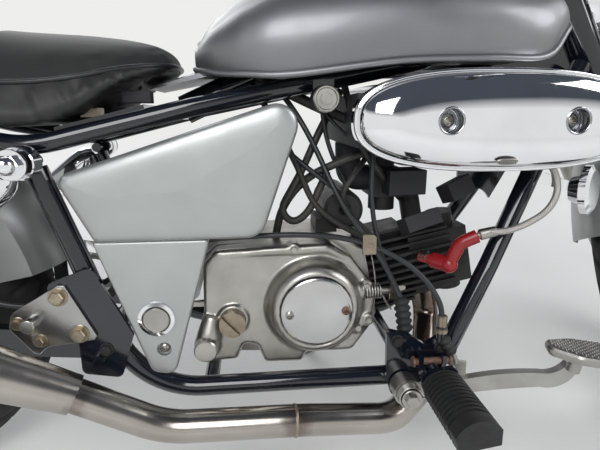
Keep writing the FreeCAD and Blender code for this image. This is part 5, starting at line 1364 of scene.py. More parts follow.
@dataclass
class ExhaustDress(Assembly):
    """Welds on the long pipe and the plate that hangs it from the frame."""

    radius: float = 19.0
    welds: tuple[tuple[Point, Point], ...] = (
        ((-44, -159.4, 153.4), (-0.99, -0.06, 0.06)),
        ((-296, -167.6, 211.6), (-0.87, -0.12, 0.47)),
    )
    plate_y: float = -130.1

    def bead(self) -> None:
        """Raised weld beads round the pipe."""
        form = Form()
        for centre, axis in self.welds:
            place = facing(centre, axis)
            rows = []
            for along, rise in ((-2.2, -0.4), (-1.4, 0.6), (0.0, 0.9), (1.4, 0.6), (2.2, -0.4)):
                row = []
                for step, (x, y) in enumerate(circle(1, 72)):
                    lump = 0.22 * math.sin(step * 2.1) + 0.15 * math.sin(step * 0.7 + along)
                    size = self.radius + rise + (lump if rise > 0 else 0)
                    row.append(place @ Vector((size * x, size * y, along + lump)))
                rows.append(row)
            form.rings(rows, caps=False)
        self.piece(form, "exhaust_welds", Palette.WELD, crease=120)

    def hanger(self) -> None:
        """The stainless hanger plate, its lug and its bolts."""
        outline = [(-370, 293), (-366, 299), (-314, 330), (-307, 329), (-277, 265), (-280, 260), (-330, 254.5),
                   (-336, 252), (-344, 244.5), (-350, 246), (-372, 276), (-373, 281)]
        place = facing((0, self.plate_y, 0), -Y)
        form = Form().prism(outline, 4.0, place)
        form.turned([(-4, 8), (20, 8), (21, 7.2)], (-345, -128.3, 288), -Y, 32)
        self.piece(form, "hanger_plate", Palette.STAINLESS, bevel=0.9, crease=50, replaces="exhaust_hanger")
        face = self.plate_y - 2.0
        for x, z, radius in ((-315, 316, 8.6), (-296, 269, 8.6), (-363, 285, 5.6), (-341, 262, 5.6)):
            self.bolt(Head.HEX, (x, face, z), -Y, radius, Palette.ZINC, washer=radius + 2.6)
        self.bolt(Head.HEX, (-269, -128.2, 245), -Y, 6.5, Palette.ENGINE_BLACK, washer=8.5)

    def tip(self) -> None:
        """A rolled lip round the silencer's open end."""
        slope, flare = math.radians(28), math.radians(8)
        along = Vector((-math.cos(slope) * math.cos(flare), -math.sin(flare), math.sin(slope) * math.cos(flare)))
        end = Vector((-300, -168, 214)) + along * 323.5
        profile = [(-9, 17.2), (-1, 17.2), (-0.1, 18.0), (0.0, 28.5), (-0.6, 30.4), (-3, 31.3), (-7, 31.4), (-9, 30.6)]
        self.piece(Form().turned(profile, end, along, 64, True), "silencer_lip", Palette.CHROME, crease=60)

    def build(self) -> None:
        """Make the exhaust's dressing."""
        self.bead()
        self.hanger()
        self.tip()


@dataclass
class Shocks(Assembly):
    """The rear shocks: a damper in a coil spring between two eyes."""

    top: Flat = (-332, 470)
    foot: Flat = (-575, 282)
    half_width: float = 137.0
    coil: float = 17.4
    wire: float = 3.4

    def build(self) -> None:
        """Make both shocks."""
        metal, springs, bushes = Form(), Form(), Form()
        for side in (RIGHT, LEFT):
            y = side * self.half_width
            high, low = Vector((self.top[0], y, self.top[1])), Vector((self.foot[0], y, self.foot[1]))
            along = (high - low).normalized()
            reach = (high - low).length
            metal.turned([(14, 9), (16, 13), (34, 13.4), (36, 22), (42, 22), (43, 12.5), (reach - 120, 12.5),
                          (reach - 119, 9), (reach - 98, 9)], low, along, 40)
            metal.turned([(reach - 98, 14), (reach - 97, 21.5), (reach - 60, 22), (reach - 34, 21),
                          (reach - 24, 17), (reach - 16, 11)], low, along, 40)
            springs.tube(helix(tuple(low + along * 44), tuple(along), self.coil, reach - 144, 12.5), self.wire, 12)
            for centre in (high, low):
                metal.turned([(-11, 12), (-11, 17), (-9.5, 18.2), (9.5, 18.2), (11, 17), (11, 12)], centre, Y, 40)
                bushes.turned([(-12, 7.4), (-12, 12.2), (12, 12.2), (12, 7.4)], centre, Y, 32)
            self.bolt(Head.ACORN, high + Y * side * 21.2, Y * side, 11.5, Palette.CHROME, washer=16)
            self.bolt(Head.ACORN, low + Y * side * 17, Y * side, 10, Palette.CHROME, washer=14)
        self.piece(metal, "shock_bodies", Palette.CHROME, crease=35, replaces="rear_shocks")
        self.piece(springs, "shock_springs", Palette.CHROME, crease=180)
        self.piece(bushes, "shock_bushes", Palette.RUBBER)


@dataclass
class Controls(Assembly):
    """The brake pedal's tread and spring, and the footpeg brackets' bolts."""

    pad: Point = (302, -187, 244)
    turn: float = -20.0
    tip: float = 3.0
    pitch: float = 6.3

    def tread(self) -> None:
        """Rows of small pyramids on the brake pedal's pad."""
        place = (Matrix.Translation(self.pad) @ Matrix.Rotation(math.radians(self.turn), 4, "Z")
                 @ Matrix.Rotation(math.radians(self.tip), 4, "Y"))
        form = Form()
        for row in range(-6, 8):
            for column in range(-8, 9):
                x = (row + column) * self.pitch / 2 + 1
                y = (row - column) * self.pitch / 2
                if not self.inside(x, y):
                    continue
                low, high = self.pitch * 0.47, self.pitch * 0.14
                corners = ((0, -1), (1, 0), (0, 1), (-1, 0))
                form.rings([[place @ Vector((x + size * a, y + size * b, level)) for a, b in corners]
                            for size, level in ((low, 2.4), (low, 3.2), (high, 5.3))])
        self.piece(form, "pedal_tread", Palette.PEDAL, crease=25)

    def inside(self, x: float, y: float) -> bool:
        """Whether a place lies on the pad, a little inside its edge.

        Args:
            x: How far forward of the pad's middle it is.
            y: How far beside it.

        Returns:
            True on the pad.
        """
        if not -37 < x < 32:
            return False
        reach = 20.5 if x > -8 else 7.5 + (x + 37) * 0.43
        return abs(y) < reach

    def spindle(self) -> None:
        """The pedal's return spring and its end bolt."""
        line = helix((100, -155.4, 178), -Y, 14.2, 10.5, 4)
        line += smooth_path([tuple(line[-1]), (122, -163, 176), (136, -158, 172)], 6)[1:]
        self.piece(Form().tube(line, 1.5, 10), "pedal_spring", Palette.STEEL, crease=180)
        self.bolt(Head.HEX, (100, -166.9, 178), -Y, 9.0, Palette.STEEL, washer=12.5)

    def pegs(self) -> None:
        """Bolts and hinge pins on both footpeg brackets."""
        pins = Form()
        for side in (RIGHT, LEFT):
            for x, z in ((90, 238), (148, 226), (97, 176)):
                if not (side == RIGHT and z == 176):
                    self.bolt(Head.HEX, (x, side * 130.2, z), Y * side, 6.5, Palette.ENGINE_BLACK, washer=8.5)
            pins.turned([(-2.5, 0), (-2.4, 6.6), (0, 7.2), (0, 4.6), (45, 4.6), (45.6, 6.4), (47.4, 6.0), (47.6, 0)],
                        (110.4, side * 139.5, 213), X, 28)
        self.piece(pins, "peg_pins", Palette.RUST)

    def build(self) -> None:
        """Make the controls' dressing."""
        self.tread()
        self.spindle()
        self.pegs()


@dataclass
class SidePanels(Assembly):
    """The side covers and the air covers, with their caps, cups and screws."""

    upper: tuple[Point, ...] = ((-270, 377, 10), (-307.3, 452.8, 14), (-22, 546, 24), (-80, 378, 26))
    lower: tuple[Point, ...] = ((-275, 378, 4), (-141, 378, 4), (-191, 203, 13), (-219, 208, 13))
    panel_y: float = 116.0
    air_centre: Flat = (203, 513)
    air_y: float = 114.3
    air_half: Flat = (177, 59)
    fullness: float = 0.78
    air_crown: tuple[Flat, ...] = (
        (0, 0), (0, 8), (0, 14), (0.9, 16.2), (2.8, 17), (4.6, 16.4), (5.0, 18.2), (5.5, 21), (7.4, 25.4), (11, 29.4),
        (17, 33.4), (25, 36.8), (34, 39.3), (44, 40.8), (52, 41.3), (58.4, 41.4))
    cap: Flat = (-208, 281)
    cap_y: float = 125.0
    screw: Flat = (-202, 240)
    cups: tuple[float, float] = (129, 277)
    level: float = 513.0
    cup_floor: float = 140.0

    def crowned(self, form: Form, side: int, corners: tuple[Point, ...], profile: list[Point]) -> None:
        """Add one crowned panel, smooth from its edge to its middle.

        Args:
            form: What it is added to.
            side: RIGHT or LEFT.
            corners: (x, z, radius) of its corners.
            profile: (inset, depth, 0) from the edge inwards.
        """
        levels = smooth_path(profile, 4)
        rows = [[Vector((x, side * (self.panel_y + level.y), z)) for x, z in rounded(corners, level.x, 8)]
                for level in levels]
        middle = sum(rows[-1], Vector()) / len(rows[-1])
        for share in (0.75, 0.5, 0.25, 0.03):
            rows.append([middle.lerp(point, share) + Y * side * (1 - share) * 0.9 for point in rows[len(levels) - 1]])
        form.rings(rows)

    def panels(self) -> None:
        """The side covers below the saddle, with a cup for the lower screw."""
        form, cups = Form(), Form()
        for side in (RIGHT, LEFT):
            self.crowned(form, side, self.upper, [(0, 0, 0), (0, 6, 0), (0.5, 9.6, 0), (2.4, 12.8, 0), (6.5, 15.2, 0),
                                                  (14, 17.0, 0), (24, 17.9, 0), (33, 18.2, 0)])
            self.crowned(form, side, self.lower, [(0, -1.5, 0), (0, 4.6, 0), (0.4, 6.4, 0), (1.4, 7.9, 0),
                                                  (3.2, 8.7, 0), (8, 8.9, 0)])
            cups.turned([(0, 0), (0, 9), (12, 9), (12, 0)], (self.screw[0], side * 118.4, self.screw[1]),
                        Y * side, 40)
        made = self.piece(form, "side_panels", Palette.PANEL, crease=50, replaces="side_covers")
        self.bore(made, cups, 50)

    def air_ring(self, side: int, inset: float, depth: float) -> list[Vector]:
        """One outline of an air cover.

        Args:
            side: RIGHT or LEFT.
            inset: How far it is drawn in.
            depth: How far out it stands.

        Returns:
            The outline's points.
        """
        long, tall = self.air_half[0] - inset, self.air_half[1] - inset
        ring = []
        for across, up in circle(1, 128):
            x = math.copysign(long * abs(across) ** self.fullness, across)
            z = math.copysign(tall * abs(up) ** self.fullness, up)
            ring.append(Vector((self.air_centre[0] + x, side * (self.air_y + depth), self.air_centre[1] + z)))
        return ring

    def air_covers(self) -> None:
        """The crowned chrome air covers, bored for their cups, with a small vent below."""
        form, cups, vents, hole_shades = Form(), Form(), Form(), Form()
        for side in (RIGHT, LEFT):
            crown = through([Vector((*level, 0)) for level in self.air_crown], 3)
            form.rings([self.air_ring(side, level.x, level.y) for level in crown])
            for x in self.cups:
                cups.turned([(0, 0), (0, 12.8), (20, 12.8), (20, 0)], (x, side * self.cup_floor, self.level),
                            Y * side, 56)
            vent = facing((201, side * 149.0, 467.6), (0, side * 0.80, -0.60))
            oval = [(13 * x, 4.6 * y) for x, y in circle(1, 36)]
            vents.prism(oval, 2.0, vent)
            for column in range(-4, 5):
                # Black dots stand for the vent's holes: painted shade.
                for row in (-1, 0, 1):
                    spot = vent @ Vector((column * 2.4 + (1.2 if row else 0), row * 2.2, 0.7))
                    hole_shades.turned([(0, 0), (0, 0.75), (0.5, 0.7), (0.5, 0)], spot, vent.to_3x3() @ Z, 8)
        made = self.piece(form, "chrome_air_covers", Palette.CHROME, crease=40, replaces="air_covers")
        self.bore(made, cups, 40)
        self.piece(vents, "cover_vents", Palette.STEEL, bevel=0.5)
        # The black dots are painted shade standing for the holes.
        self.piece(hole_shades, "cover_vent_hole_shades", Palette.PLASTIC)

    def caps(self) -> None:
        """A round cap in its chrome ring on each lower panel, and the screw below it."""
        rings, discs = Form(), Form()
        for side in (RIGHT, LEFT):
            centre = (self.cap[0], side * self.cap_y, self.cap[1])
            rings.turned([(-1, 22.5), (0.4, 22.4), (3.3, 21.5), (4.9, 17.2), (4.4, 16.6), (3.0, 16.2), (-1, 16.2)],
                         centre, Y * side, 72, True)
            discs.turned([(2, 15.4), (5.0, 15.3), (5.5, 14.7), (5.8, 8), (5.9, 0)], centre, Y * side, 64)
            self.bolt(Head.SOCKET, (self.screw[0], side * 119.6, self.screw[1]), Y * side, 6.6, Palette.STEEL)
        self.piece(rings, "panel_cap_rings", Palette.CHROME, crease=35)
        self.piece(discs, "panel_cap_discs", Palette.CAST, crease=35)

    def sunk_screws(self) -> None:
        """A bright-rimmed cup with a screw at its bottom, in each bore of the air covers."""
        form = Form()
        for side in (RIGHT, LEFT):
            for x in self.cups:
                floor = side * self.cup_floor
                form.turned([(-14, 12.7), (0.2, 12.7), (1.2, 13.4), (1.6, 14.4), (0.8, 15.4), (-0.8, 15.6),
                             (-0.8, 13.2)], (x, side * 155.4, self.level), Y * side, 56, True)
                form.turned([(-0.5, 12.6), (0.6, 12.4), (1.2, 10.6)], (x, floor, self.level), Y * side, 48)
                self.bolt(Head.SOCKET, (x, floor + side * 1.2, self.level), Y * side, 8.6, Palette.STEEL)
        # The cups get the darker chrome: painted shade in the bores.
        self.piece(form, "cover_cups", Palette.CHROME_PAINTED_SHADE)

    def build(self) -> None:
        """Make the panels and covers with what is on them."""
        self.panels()
        self.air_covers()
        self.caps()
        self.sunk_screws()


@dataclass
class Tank(Assembly):
    """The fuel tank: a long drop with a rolled lip, a tunnel below and a tongue towards the saddle."""

    sections: tuple[tuple[float, ...], ...] = (
        # x, tilt, half width, low, high, shoulder, hip, foot
        (-156, 0, 50, 574, 604, 0.68, 0.40, 0.86), (-141, 0, 70, 571, 628, 0.70, 0.39, 0.87),
        (-122.9, 0, 86, 568, 645, 0.72, 0.38, 0.88), (-94, 0, 103, 566, 667, 0.73, 0.38, 0.90),
        (-40.3, 0, 117.2, 565, 688, 0.74, 0.38, 0.92), (83.6, 0, 126, 580, 700, 0.74, 0.38, 0.92),
        (189.1, 12, 123.5, 584, 699, 0.74, 0.38, 0.92), (262.5, 24, 113.4, 588, 698, 0.74, 0.40, 0.90),
        (303.8, 30, 88.2, 624, 694, 0.72, 0.42, 0.86))
    brow: float = 0.74
    bead: float = 4.0
    dome: tuple[Flat, ...] = ((0.98, 3), (0.94, 6), (0.86, 8.6), (0.72, 10.6), (0.5, 12), (0.25, 12.6), (0.02, 12.8))

    def outline(self, section: tuple[float, ...]) -> list[Vector]:
        """One section's points, from its right foot along the tunnel and over the top.

        Args:
            section: Its row of sizes.

        Returns:
            The points.
        """
        x, tilt, half, low, high, shoulder, hip, foot = section
        tall, lean = high - low, math.radians(tilt)
        level, edge, side = tall * shoulder, half * self.brow, (half, tall * hip)
        flat = [(-half * foot, 0), (-36, 0), (-31, 24), (-18, 36), (0, 40), (18, 36), (31, 24), (36, 0)]
        flat += bow((half * foot, 0), side, (edge, level), 12)
        flat += bow((edge, level), (0, tall), (-edge, level), 26)
        flat += bow((-edge, level), (-side[0], side[1]), (-half * foot, 0), 12)
        return [Vector((x - up * math.sin(lean), across, low + up * math.cos(lean))) for across, up in flat]

    def ends(self, ring: list[Vector], out: Vector, share: float) -> list[list[Vector]]:
        """Domed outlines beyond an end section, with the way they point and their depth against the usual."""
        middle = sum(ring, Vector()) / len(ring)
        return [[middle + (at - middle) * size + out * depth * share for at in ring] for size, depth in self.dome]

    def build(self) -> None:
        """Make the tank, its tongue and its lip."""
        rings = [self.outline(section) for section in self.sections]
        columns = [through([ring[n] for ring in rings], 6) for n in range(len(rings[0]))]
        rows = [list(row) for row in zip(*columns)][1:]
        lean = math.radians(30)
        back = self.ends(rows[0], -X, 0.3)
        nose = self.ends(rows[-1], Vector((math.cos(lean), 0, math.sin(lean))), 0.5)
        rows = back[::-1] + rows + nose
        form = Form().rings(rows)
        tongue = []
        for step in range(13):
            share = step / 12
            half, tall = 46 + 14 * share, 5 + 9 * share
            tongue.append([Vector((-212 + 76 * share, y, 550 + 16 * share + z)) for y, z in (
                (-half, 0), (half, 0), (half * 0.97, tall * 0.5), (half * 0.66, tall * 0.86), (0, tall),
                (-half * 0.66, tall * 0.86), (-half * 0.97, tall * 0.5))])
        form.rings(tongue)
        self.piece(form, "teardrop_tank", Palette.TANK, crease=50, replaces="fuel_tank")
        keep = rows[5:-5]
        loop = [row[0] - Y * 2 - Z for row in keep] + [row[8] + Y * 2 - Z for row in reversed(keep)]
        self.piece(Form().tube(loop, self.bead, 12, close=True), "tank_lip", Palette.TANK, crease=180)


# Wheels and chain


@dataclass
class Tyre(Assembly):
    """One tyre with its tread cut in."""

    node: str
    body: str
    axle: Point
    radius: float
    half_width: float
    bead: float
    crown: float
    steps: int = 504
    pitches: int = 42
    depth: float = 4.2
    arc: float = 108.0
    arc_steps: int = 44

    def groove(self, around: float, across: float) -> float:
        """How deep the tread is cut, from 0 to 1.

        Args:
            around: Tread pitches round the tyre.
            across: From -1 at one edge of the tread to 1 at the other.

        Returns:
            The share of the full depth.
        """
        if abs(across) > 1:
            return 0.0
        wave = 0.08 * math.sin(math.tau * around)
        cut = 0.0
        for line in (-0.34, 0.34):
            cut = max(cut, 1 - abs(across - line - wave * math.copysign(1, line)) / 0.075)
        phase = (around + abs(across) * 0.9 + (0.5 if across > 0 else 0.0)) % 1.0
        if 0.42 < abs(across) < 0.97:
            cut = max(cut, 1 - abs(phase - 0.5) / 0.14)
        phase = (around * 1.0 + across * 0.6) % 1.0
        if abs(across) < 0.2:
            cut = max(cut, 0.8 - abs(phase - 0.5) / 0.10)
        return max(0.0, min(1.0, cut * 1.8))

    def build(self) -> None:
        """Make the tyre."""
        centre_r = self.radius - self.crown
        squeeze = self.half_width / self.crown
        bead_half = self.half_width * 0.8 - 6.3
        profile = [(-bead_half, self.bead, 9.0), (-bead_half, self.bead + 6.4, 9.0)]
        for step in range(self.arc_steps + 1):
            turn = math.radians(self.arc * (2 * step / self.arc_steps - 1))
            profile.append((self.crown * math.sin(turn) * squeeze, centre_r + self.crown * math.cos(turn),
                            math.degrees(turn) / 62))
        profile += [(bead_half, self.bead + 6.4, 9.0), (bead_half, self.bead, 9.0)]
        rows = []
        middle = Vector(self.axle)
        for step, (x, z) in enumerate(circle(1, self.steps)):
            out = Vector((x, 0, z))
            row = []
            for y, radius, across in profile:
                cut = self.depth * self.groove(self.pitches * step / self.steps, across)
                row.append(middle + out * (radius - cut) + Vector((0, y, 0)))
            rows.append(row)
        form = Form().rings(rows + [rows[0]], close=True, caps=False)
        self.piece(form, self.node + "_tread", Palette.TYRE, self.body, crease=180, replaces=self.node)


@dataclass
class Chain(Assembly):
    """The drive chain, link by link, on its two sprockets."""

    drive: Flat = (-105, 246)
    rear: Flat = (-645, 266)
    drive_radius: float = 27.0
    rear_radius: float = 74.0
    line: float = 70.0
    pitch: float = 12.7
    plate: float = 4.1
    teeth: int = 13
    root: float = 20.5
    tip: float = 24.5

    def loop(self) -> list[Vector]:
        """The pins' places round both sprockets.

        Returns:
            The places.
        """
        gap = Vector((self.rear[0] - self.drive[0], 0, self.rear[1] - self.drive[1]))
        lean = math.atan2(gap.z, gap.x)
        spread = math.acos((self.drive_radius - self.rear_radius) / gap.length)
        fine = []
        for centre, radius, first, last in (
                (self.rear, self.rear_radius, lean + spread, lean - spread),
                (self.drive, self.drive_radius, lean - spread, lean - 2 * math.pi + spread)):
            for step in range(61):
                turn = first + (last - first) * step / 60
                fine.append(Vector((centre[0] + radius * math.cos(turn), self.line,
                                    centre[1] + radius * math.sin(turn))))
        fine.append(fine[0])
        total = sum((b - a).length for a, b in zip(fine, fine[1:]))
        count = round(total / self.pitch / 2) * 2
        pins, walked, target = [], 0.0, 0.0
        for start, end in zip(fine, fine[1:]):
            span = (end - start).length
            while target <= walked + span and len(pins) < count:
                pins.append(start.lerp(end, (target - walked) / span))
                target += total / count
            walked += span
        return pins

    def build(self) -> None:
        """Make the chain and its drive sprocket."""
        pins = self.loop()
        plates, rollers = Form(), Form()
        for number, start in enumerate(pins):
            end = pins[(number + 1) % len(pins)]
            place = facing((start + end) / 2, Y, (end - start).cross(Y))
            half = (end - start).length / 2
            outline = [(sign * (half + self.plate * math.cos(turn)), sign * self.plate * math.sin(turn))
                       for sign in (1, -1) for turn in (-1.4, -0.8, 0.0, 0.8, 1.4)]
            for y in (-4.7, 4.7) if number % 2 else (-3.1, 3.1):
                plates.prism(outline, 1.3, place @ Matrix.Translation((0, 0, y)))
            rollers.turned([(-5.4, 1.8), (-5.4, 2.2), (-2.3, 2.2), (-2.3, 3.7), (2.3, 3.7), (2.3, 2.2), (5.4, 2.2),
                            (5.4, 1.8)], start, Y, 10)
        self.piece(plates, "chain_plates", Palette.STEEL, crease=40, replaces="drive_chain")
        self.piece(rollers, "chain_rollers", Palette.STEEL)
        teeth = []
        for number, (x, y) in enumerate(circle(1, self.teeth * 4)):
            size = self.root if number % 4 in (0, 3) else self.tip
            teeth.append((size * x, size * y))
        form = Form().prism(teeth, 4.2, facing((self.drive[0], self.line, self.drive[1]), Y))
        self.piece(form, "drive_sprocket", Palette.STEEL, crease=30)


# Lamps, bars and instruments


def steer_point(ahead: float, across: float, up: float) -> Vector:
    """A point on the drawing, measured square to, across and up the steering axis from its foot."""
    axis = STANCE.steering_axis()
    return Vector(STANCE.steering_foot) + Y.cross(axis) * ahead + Y * across + axis * up


@dataclass
class Lamps(Assembly):
    """Headlamp, turn lamps and tail lamp."""

    headlamp: Flat = (112, 452)
    glass: float = 73.6
    turn_reach: float = 73.0
    lens: float = 25.6
    tail: Point = (-924.8, 0, 379.1)
    tail_turn: float = 158.0

    def head(self) -> None:
        """The headlamp's shell, rim, reflector and glass."""
        centre = steer_point(self.headlamp[0], 0, self.headlamp[1])
        axis = Vector((1, 0, -0.04))
        shell = Form().turned([
            (-79, 0), (-77, 14), (-74, 24), (-58, 44), (-40, 59), (-18, 71), (0, 77.6), (5, 80.4), (10, 81), (15, 80.2),
            (18, 77.6), (18, 74.4), (12, 73.8), (0, 71), (-18, 63), (-36, 49), (-48, 32), (-53, 14), (-54, 0)],
            centre, axis, 72)
        self.piece(shell, "headlamp_shell", Palette.CHROME, "steering", crease=35, replaces="headlamp")
        place, widest = facing(centre, axis), self.glass + 0.1
        rows = []
        for step in range(13):
            radius = self.glass * (1 - step / 12) or 0.03
            flute = 0.35 if 0.15 < step / 12 < 0.8 else 0.0
            bulge = math.sqrt(1 - (radius / widest) ** 2)
            rows.append([place @ Vector((x, y, 15 + 13.5 * bulge + flute * math.cos(x * 0.9)))
                         for x, y in circle(radius, 96)])
        back = [[place @ Vector((x, y, 12.4 + 13 * math.sqrt(1 - (radius / widest) ** 2)))
                 for x, y in circle(radius, 96)] for radius in (self.glass, 60, 40, 20, 0.03)]
        self.piece(Form().rings(rows[::-1] + back), "headlamp_glass", Palette.GLASS, "steering", crease=60)
        bulb = Form().turned([(-52, 0), (-52, 9), (-40, 9), (-38, 5), (-20, 6), (-12, 5), (-8, 0)], centre, axis, 24)
        self.piece(bulb, "headlamp_bulb", Palette.GLASS, "steering", crease=50)

    def turn_lamps(self) -> None:
        """Four turn lamps on stems."""
        rows = (
            ("front", Vector((440, 85.8, 690)), 1, "steering"),
            ("rear", Vector((-790, 63.8, 488)), -1, "chassis"),
        )
        for name, base, face, body in rows:
            bowls, lenses = Form(), Form()
            for side in (RIGHT, LEFT):
                root = Vector((base.x, side * base.y, base.z))
                centre = root + Vector((0, side * self.turn_reach, 0))
                bowls.turned([(0, 9), (2.5, 9), (4, 6.2), (58, 5.2)], root, Y * side, 28)
                bowls.turned([(-18, 0), (-17.4, 9), (-15.6, 16.6), (-7, 22.6), (4, 26.6), (8.6, 27), (9.4, 26),
                              (9.4, 24.4), (3, 23.6)], centre, (face, 0, 0), 48)
                profile = [(4, 22.8), (8.8, 24.2), (9.6, 26.2), (12.4, 26.4)]
                for step in range(7):
                    radius = self.lens * (1 - step / 6.5)
                    profile += [(13.2 + 8.4 * (1 - (radius / self.lens) ** 2), radius),
                                (12.7 + 8.4 * (1 - ((radius - 1.6) / self.lens) ** 2), max(radius - 1.6, 0.03))]
                lenses.turned(profile, centre, (face, 0, 0), 48)
            node = f"{name}_indicators"
            self.piece(bowls, f"{name}_turn_bowls", Palette.CHROME, body, crease=35, replaces=node)
            self.piece(lenses, f"{name}_turn_lenses", Palette.AMBER, body, crease=50)

    def tail_lamp(self) -> None:
        """The tail lamp's chrome base and ribbed red lens."""
        turn = math.radians(self.tail_turn)
        out = Vector((math.cos(turn), 0, math.sin(turn)))
        base = Form().turned([(0, 38), (0, 40), (10, 40), (12, 39), (12, 35)], self.tail, out, 56)
        self.piece(base, "tail_lamp_base", Palette.CHROME, crease=35, replaces="tail_lamp")
        profile = [(8, 34.4), (12.6, 37.8)]
        for step in range(1, 10):
            share = step / 10
            profile += [(12.6 + 25 * share, 38 * math.sqrt(1 - share ** 2.4) + 0.3),
                        (13.6 + 25 * share, 38 * math.sqrt(1 - share ** 2.4) - 1.0)]
        profile.append((37.8, 0))
        self.piece(Form().turned(profile, self.tail, out, 56), "tail_lamp_lens", Palette.STOP, crease=30)

    def build(self) -> None:
        """Make all the lamps."""
        self.head()
        self.turn_lamps()
        self.tail_lamp()


@dataclass
class Bars(Assembly):
    """Grips, mirror glasses and the speedometer's dial."""

    tip: Point = (146, 348, 886)
    inner: Point = (232, 186, 896)
    grip_length: float = 125.0
    grip_radius: float = 16.5
    ribs: int = 22
    mirror_radius: float = 48.6
    meter: Flat = (104, 630)

    def ends(self, side: int) -> tuple[Vector, Vector]:
        """One bar end and the direction from it along the bar."""
        tip = Vector((self.tip[0], side * self.tip[1], self.tip[2]))
        return tip, (Vector((self.inner[0], side * self.inner[1], self.inner[2])) - tip).normalized()

    def grips(self) -> None:
        """Ribbed rubber grips."""
        form = Form()
        for side in (RIGHT, LEFT):
            tip, inward = self.ends(side)
            profile = [(0, 0), (0.4, 12), (2, 15.4)]
            pitch = (self.grip_length - 14) / self.ribs
            for number in range(self.ribs):
                low = 5 + number * pitch
                profile += [(low, 14.9), (low + pitch * 0.25, self.grip_radius - 0.3),
                            (low + pitch * 0.7, self.grip_radius - 0.3), (low + pitch * 0.95, 14.9)]
            end = self.grip_length
            profile += [(end - 7, 15.2), (end - 6, self.grip_radius), (end - 0.6, self.grip_radius), (end, 15.6),
                        (end, 11.3)]
            form.turned(profile, tip - inward * 6, inward, 36)
        self.piece(form, "ribbed_grips", Palette.RUBBER, "steering", crease=40, replaces="grips")

    def mirrors(self) -> None:
        """The mirrors' glasses."""
        form = Form()
        for side in (RIGHT, LEFT):
            tip, inward = self.ends(side)
            ahead = Vector((1, 0, 0.05))
            ahead = (ahead - inward * ahead.dot(inward)).normalized()
            perch = tip + inward * (self.grip_length + 12) + ahead * 20.3
            eye = perch + Vector((-20, side * 34, 86.4))
            form.turned([(8.1, self.mirror_radius), (8.8, self.mirror_radius - 0.4), (9.3, 30), (10.2, 10), (10.6, 0)],
                        eye + Vector((0, 0, 22)), (-1, side * 0.12, 0.06), 72)
        self.piece(form, "mirror_glasses", Palette.MIRROR, "steering")

    def dial(self) -> None:
        """The speedometer's face, ticks, needle and glass."""
        centre = steer_point(self.meter[0], 0, self.meter[1])
        axis = Vector((-0.62, 0, 0.8))
        place = facing(centre, axis, -X)
        face = Form().turned([(15.6, 38.6), (16.3, 38.4), (16.4, 0)], centre, axis, 64)
        self.piece(face, "dial_face", Palette.PLASTIC, "steering")
        ticks = Form()
        for number in range(25):
            turn = math.radians(225 - 270 * number / 24)
            long, wide = (8.0, 1.3) if number % 4 == 0 else (4.5, 0.8)
            middle = Vector((math.cos(turn), math.sin(turn), 0)) * (35.5 - long / 2)
            ticks.block((long, wide, 0.3), place @ Matrix.Translation((middle.x, middle.y, 16.5))
                        @ Matrix.Rotation(turn, 4, "Z"))
        self.piece(ticks, "dial_ticks", Palette.PLATE, "steering")
        needle = Form().prism([(-8, -1.4), (27, -0.5), (27, 0.5), (-8, 1.4)], 0.6,
                              place @ Matrix.Translation((0, 0, 17.2)) @ Matrix.Rotation(math.radians(225), 4, "Z"))
        needle.turned([(16.4, 4), (18.4, 3.6), (18.6, 0)], centre, axis, 24)
        self.piece(needle, "dial_needle", Palette.RED, "steering")
        rim = Form().turned([(14, 38.8), (19, 38.8), (20.4, 40.4), (19.4, 43.2), (14, 44.2), (11.5, 44.2)], centre,
                            axis, 72, True)
        self.piece(rim, "dial_rim", Palette.CHROME, "steering")
        glass = Form().turned([(18.3, 38.9), (19.0, 38.6), (20.4, 22), (20.8, 0)], centre, axis, 64)
        self.piece(glass, "dial_glass", Palette.GLASS, "steering", crease=50)

    def build(self) -> None:
        """Make the bars' dressing."""
        self.grips()
        self.mirrors()
        self.dial()


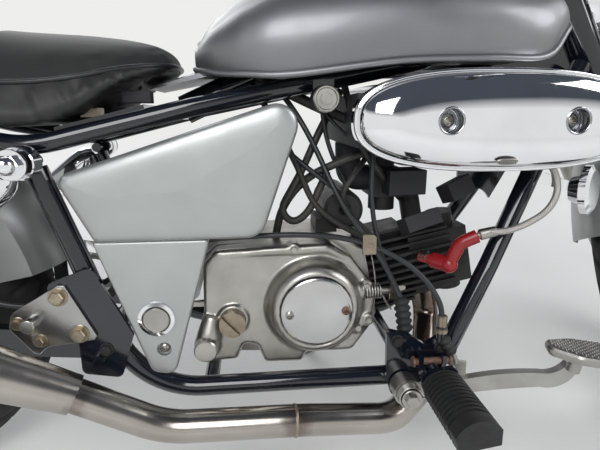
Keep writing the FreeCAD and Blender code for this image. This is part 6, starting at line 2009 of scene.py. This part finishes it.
@dataclass
class Trim(Assembly):
    """The fuel cap's milled edge, fork bolts and the small blocks below the saddle."""

    cap: Point = (84, 0, 702.7)
    cap_radius: float = 31.0
    leg: float = 45.0

    def fuel_cap(self) -> None:
        """Milling round the fuel cap."""
        form = Form()
        for x, y in circle(1, 54):
            out = Vector((x, y, 0))
            form.block((1.6, 9.4, 1.4), facing(Vector(self.cap) + out * (self.cap_radius - 0.3) + Z * 6, out))
        self.piece(form, "fuel_cap_milling", Palette.CHROME, bevel=0.3)

    def fork_bolts(self) -> None:
        """Clamp bolts on the yokes and caps on the fork legs."""
        for across in (-85, 85):
            self.bolt(Head.HEX, steer_point(self.leg, across, 576.3), STANCE.steering_axis(), 11, Palette.CHROME,
                      "steering", 14)
            for up in (356, 557):
                side = math.copysign(1, across)
                self.bolt(Head.SOCKET, steer_point(self.leg, across + side * 24.2, up), Y * side, 5.5, Palette.STEEL,
                          "steering")
        self.bolt(Head.ACORN, steer_point(0, 0, 568.4), STANCE.steering_axis(), 15, Palette.CHROME, "steering", 20)

    def boxes(self) -> None:
        """A pale relay and a dark fuse box under the saddle's nose."""
        form = Form().block((22, 12, 20), facing((-276, -70, 522), -Y))
        self.piece(form, "relay", Palette.BRONZE, bevel=1.5)
        form = Form().block((34, 14, 18), facing((-224, -62, 540), -Y))
        self.piece(form, "fuse_box", Palette.PLASTIC, bevel=1.5)

    def build(self) -> None:
        """Make the trim."""
        self.fuel_cap()
        self.fork_bolts()
        self.boxes()


class Fasteners(Assembly):
    """All the fasteners, as one piece for each finish and body."""

    def build(self) -> None:
        """Make them, when every sub-assembly has set its own."""
        for (finish, body), form in self.fasteners.items():
            self.piece(form, f"fasteners_{finish.name.lower()}_{body}", finish, body, crease=30)


def dress_nodes() -> None:
    """Give every node its finish."""
    finishes = {name: finish.value for finish, names in NODE_FINISH.items() for name in names.split()}
    for name, node in frame["nodes"].items():
        node.data.materials.clear()
        node.data.materials.append(finishes[name].material())
        LOG.info("%s: %s", name, finishes[name].name)


def main() -> None:
    """Build the scene, one sub-assembly after another."""
    logging.basicConfig(level=logging.INFO, format="%(name)s %(message)s")
    Studio().build()
    dress_nodes()
    front = Tyre("front_tyre", "front_wheel", (645, 0, 283), 283, 40, 203, 42)
    rear = Tyre("rear_tyre", "rear_wheel", (-645, 0, 266), 266, 55, 178, 56)
    for assembly in (Saddle(), Tank(), EngineDress(), Cables(), ExhaustDress(), Shocks(), Controls(), SidePanels(),
                     front, rear, Chain(), Lamps(), Bars(), Trim(), Fasteners()):
        assembly.build()


if __name__ == "__main__":
    main()
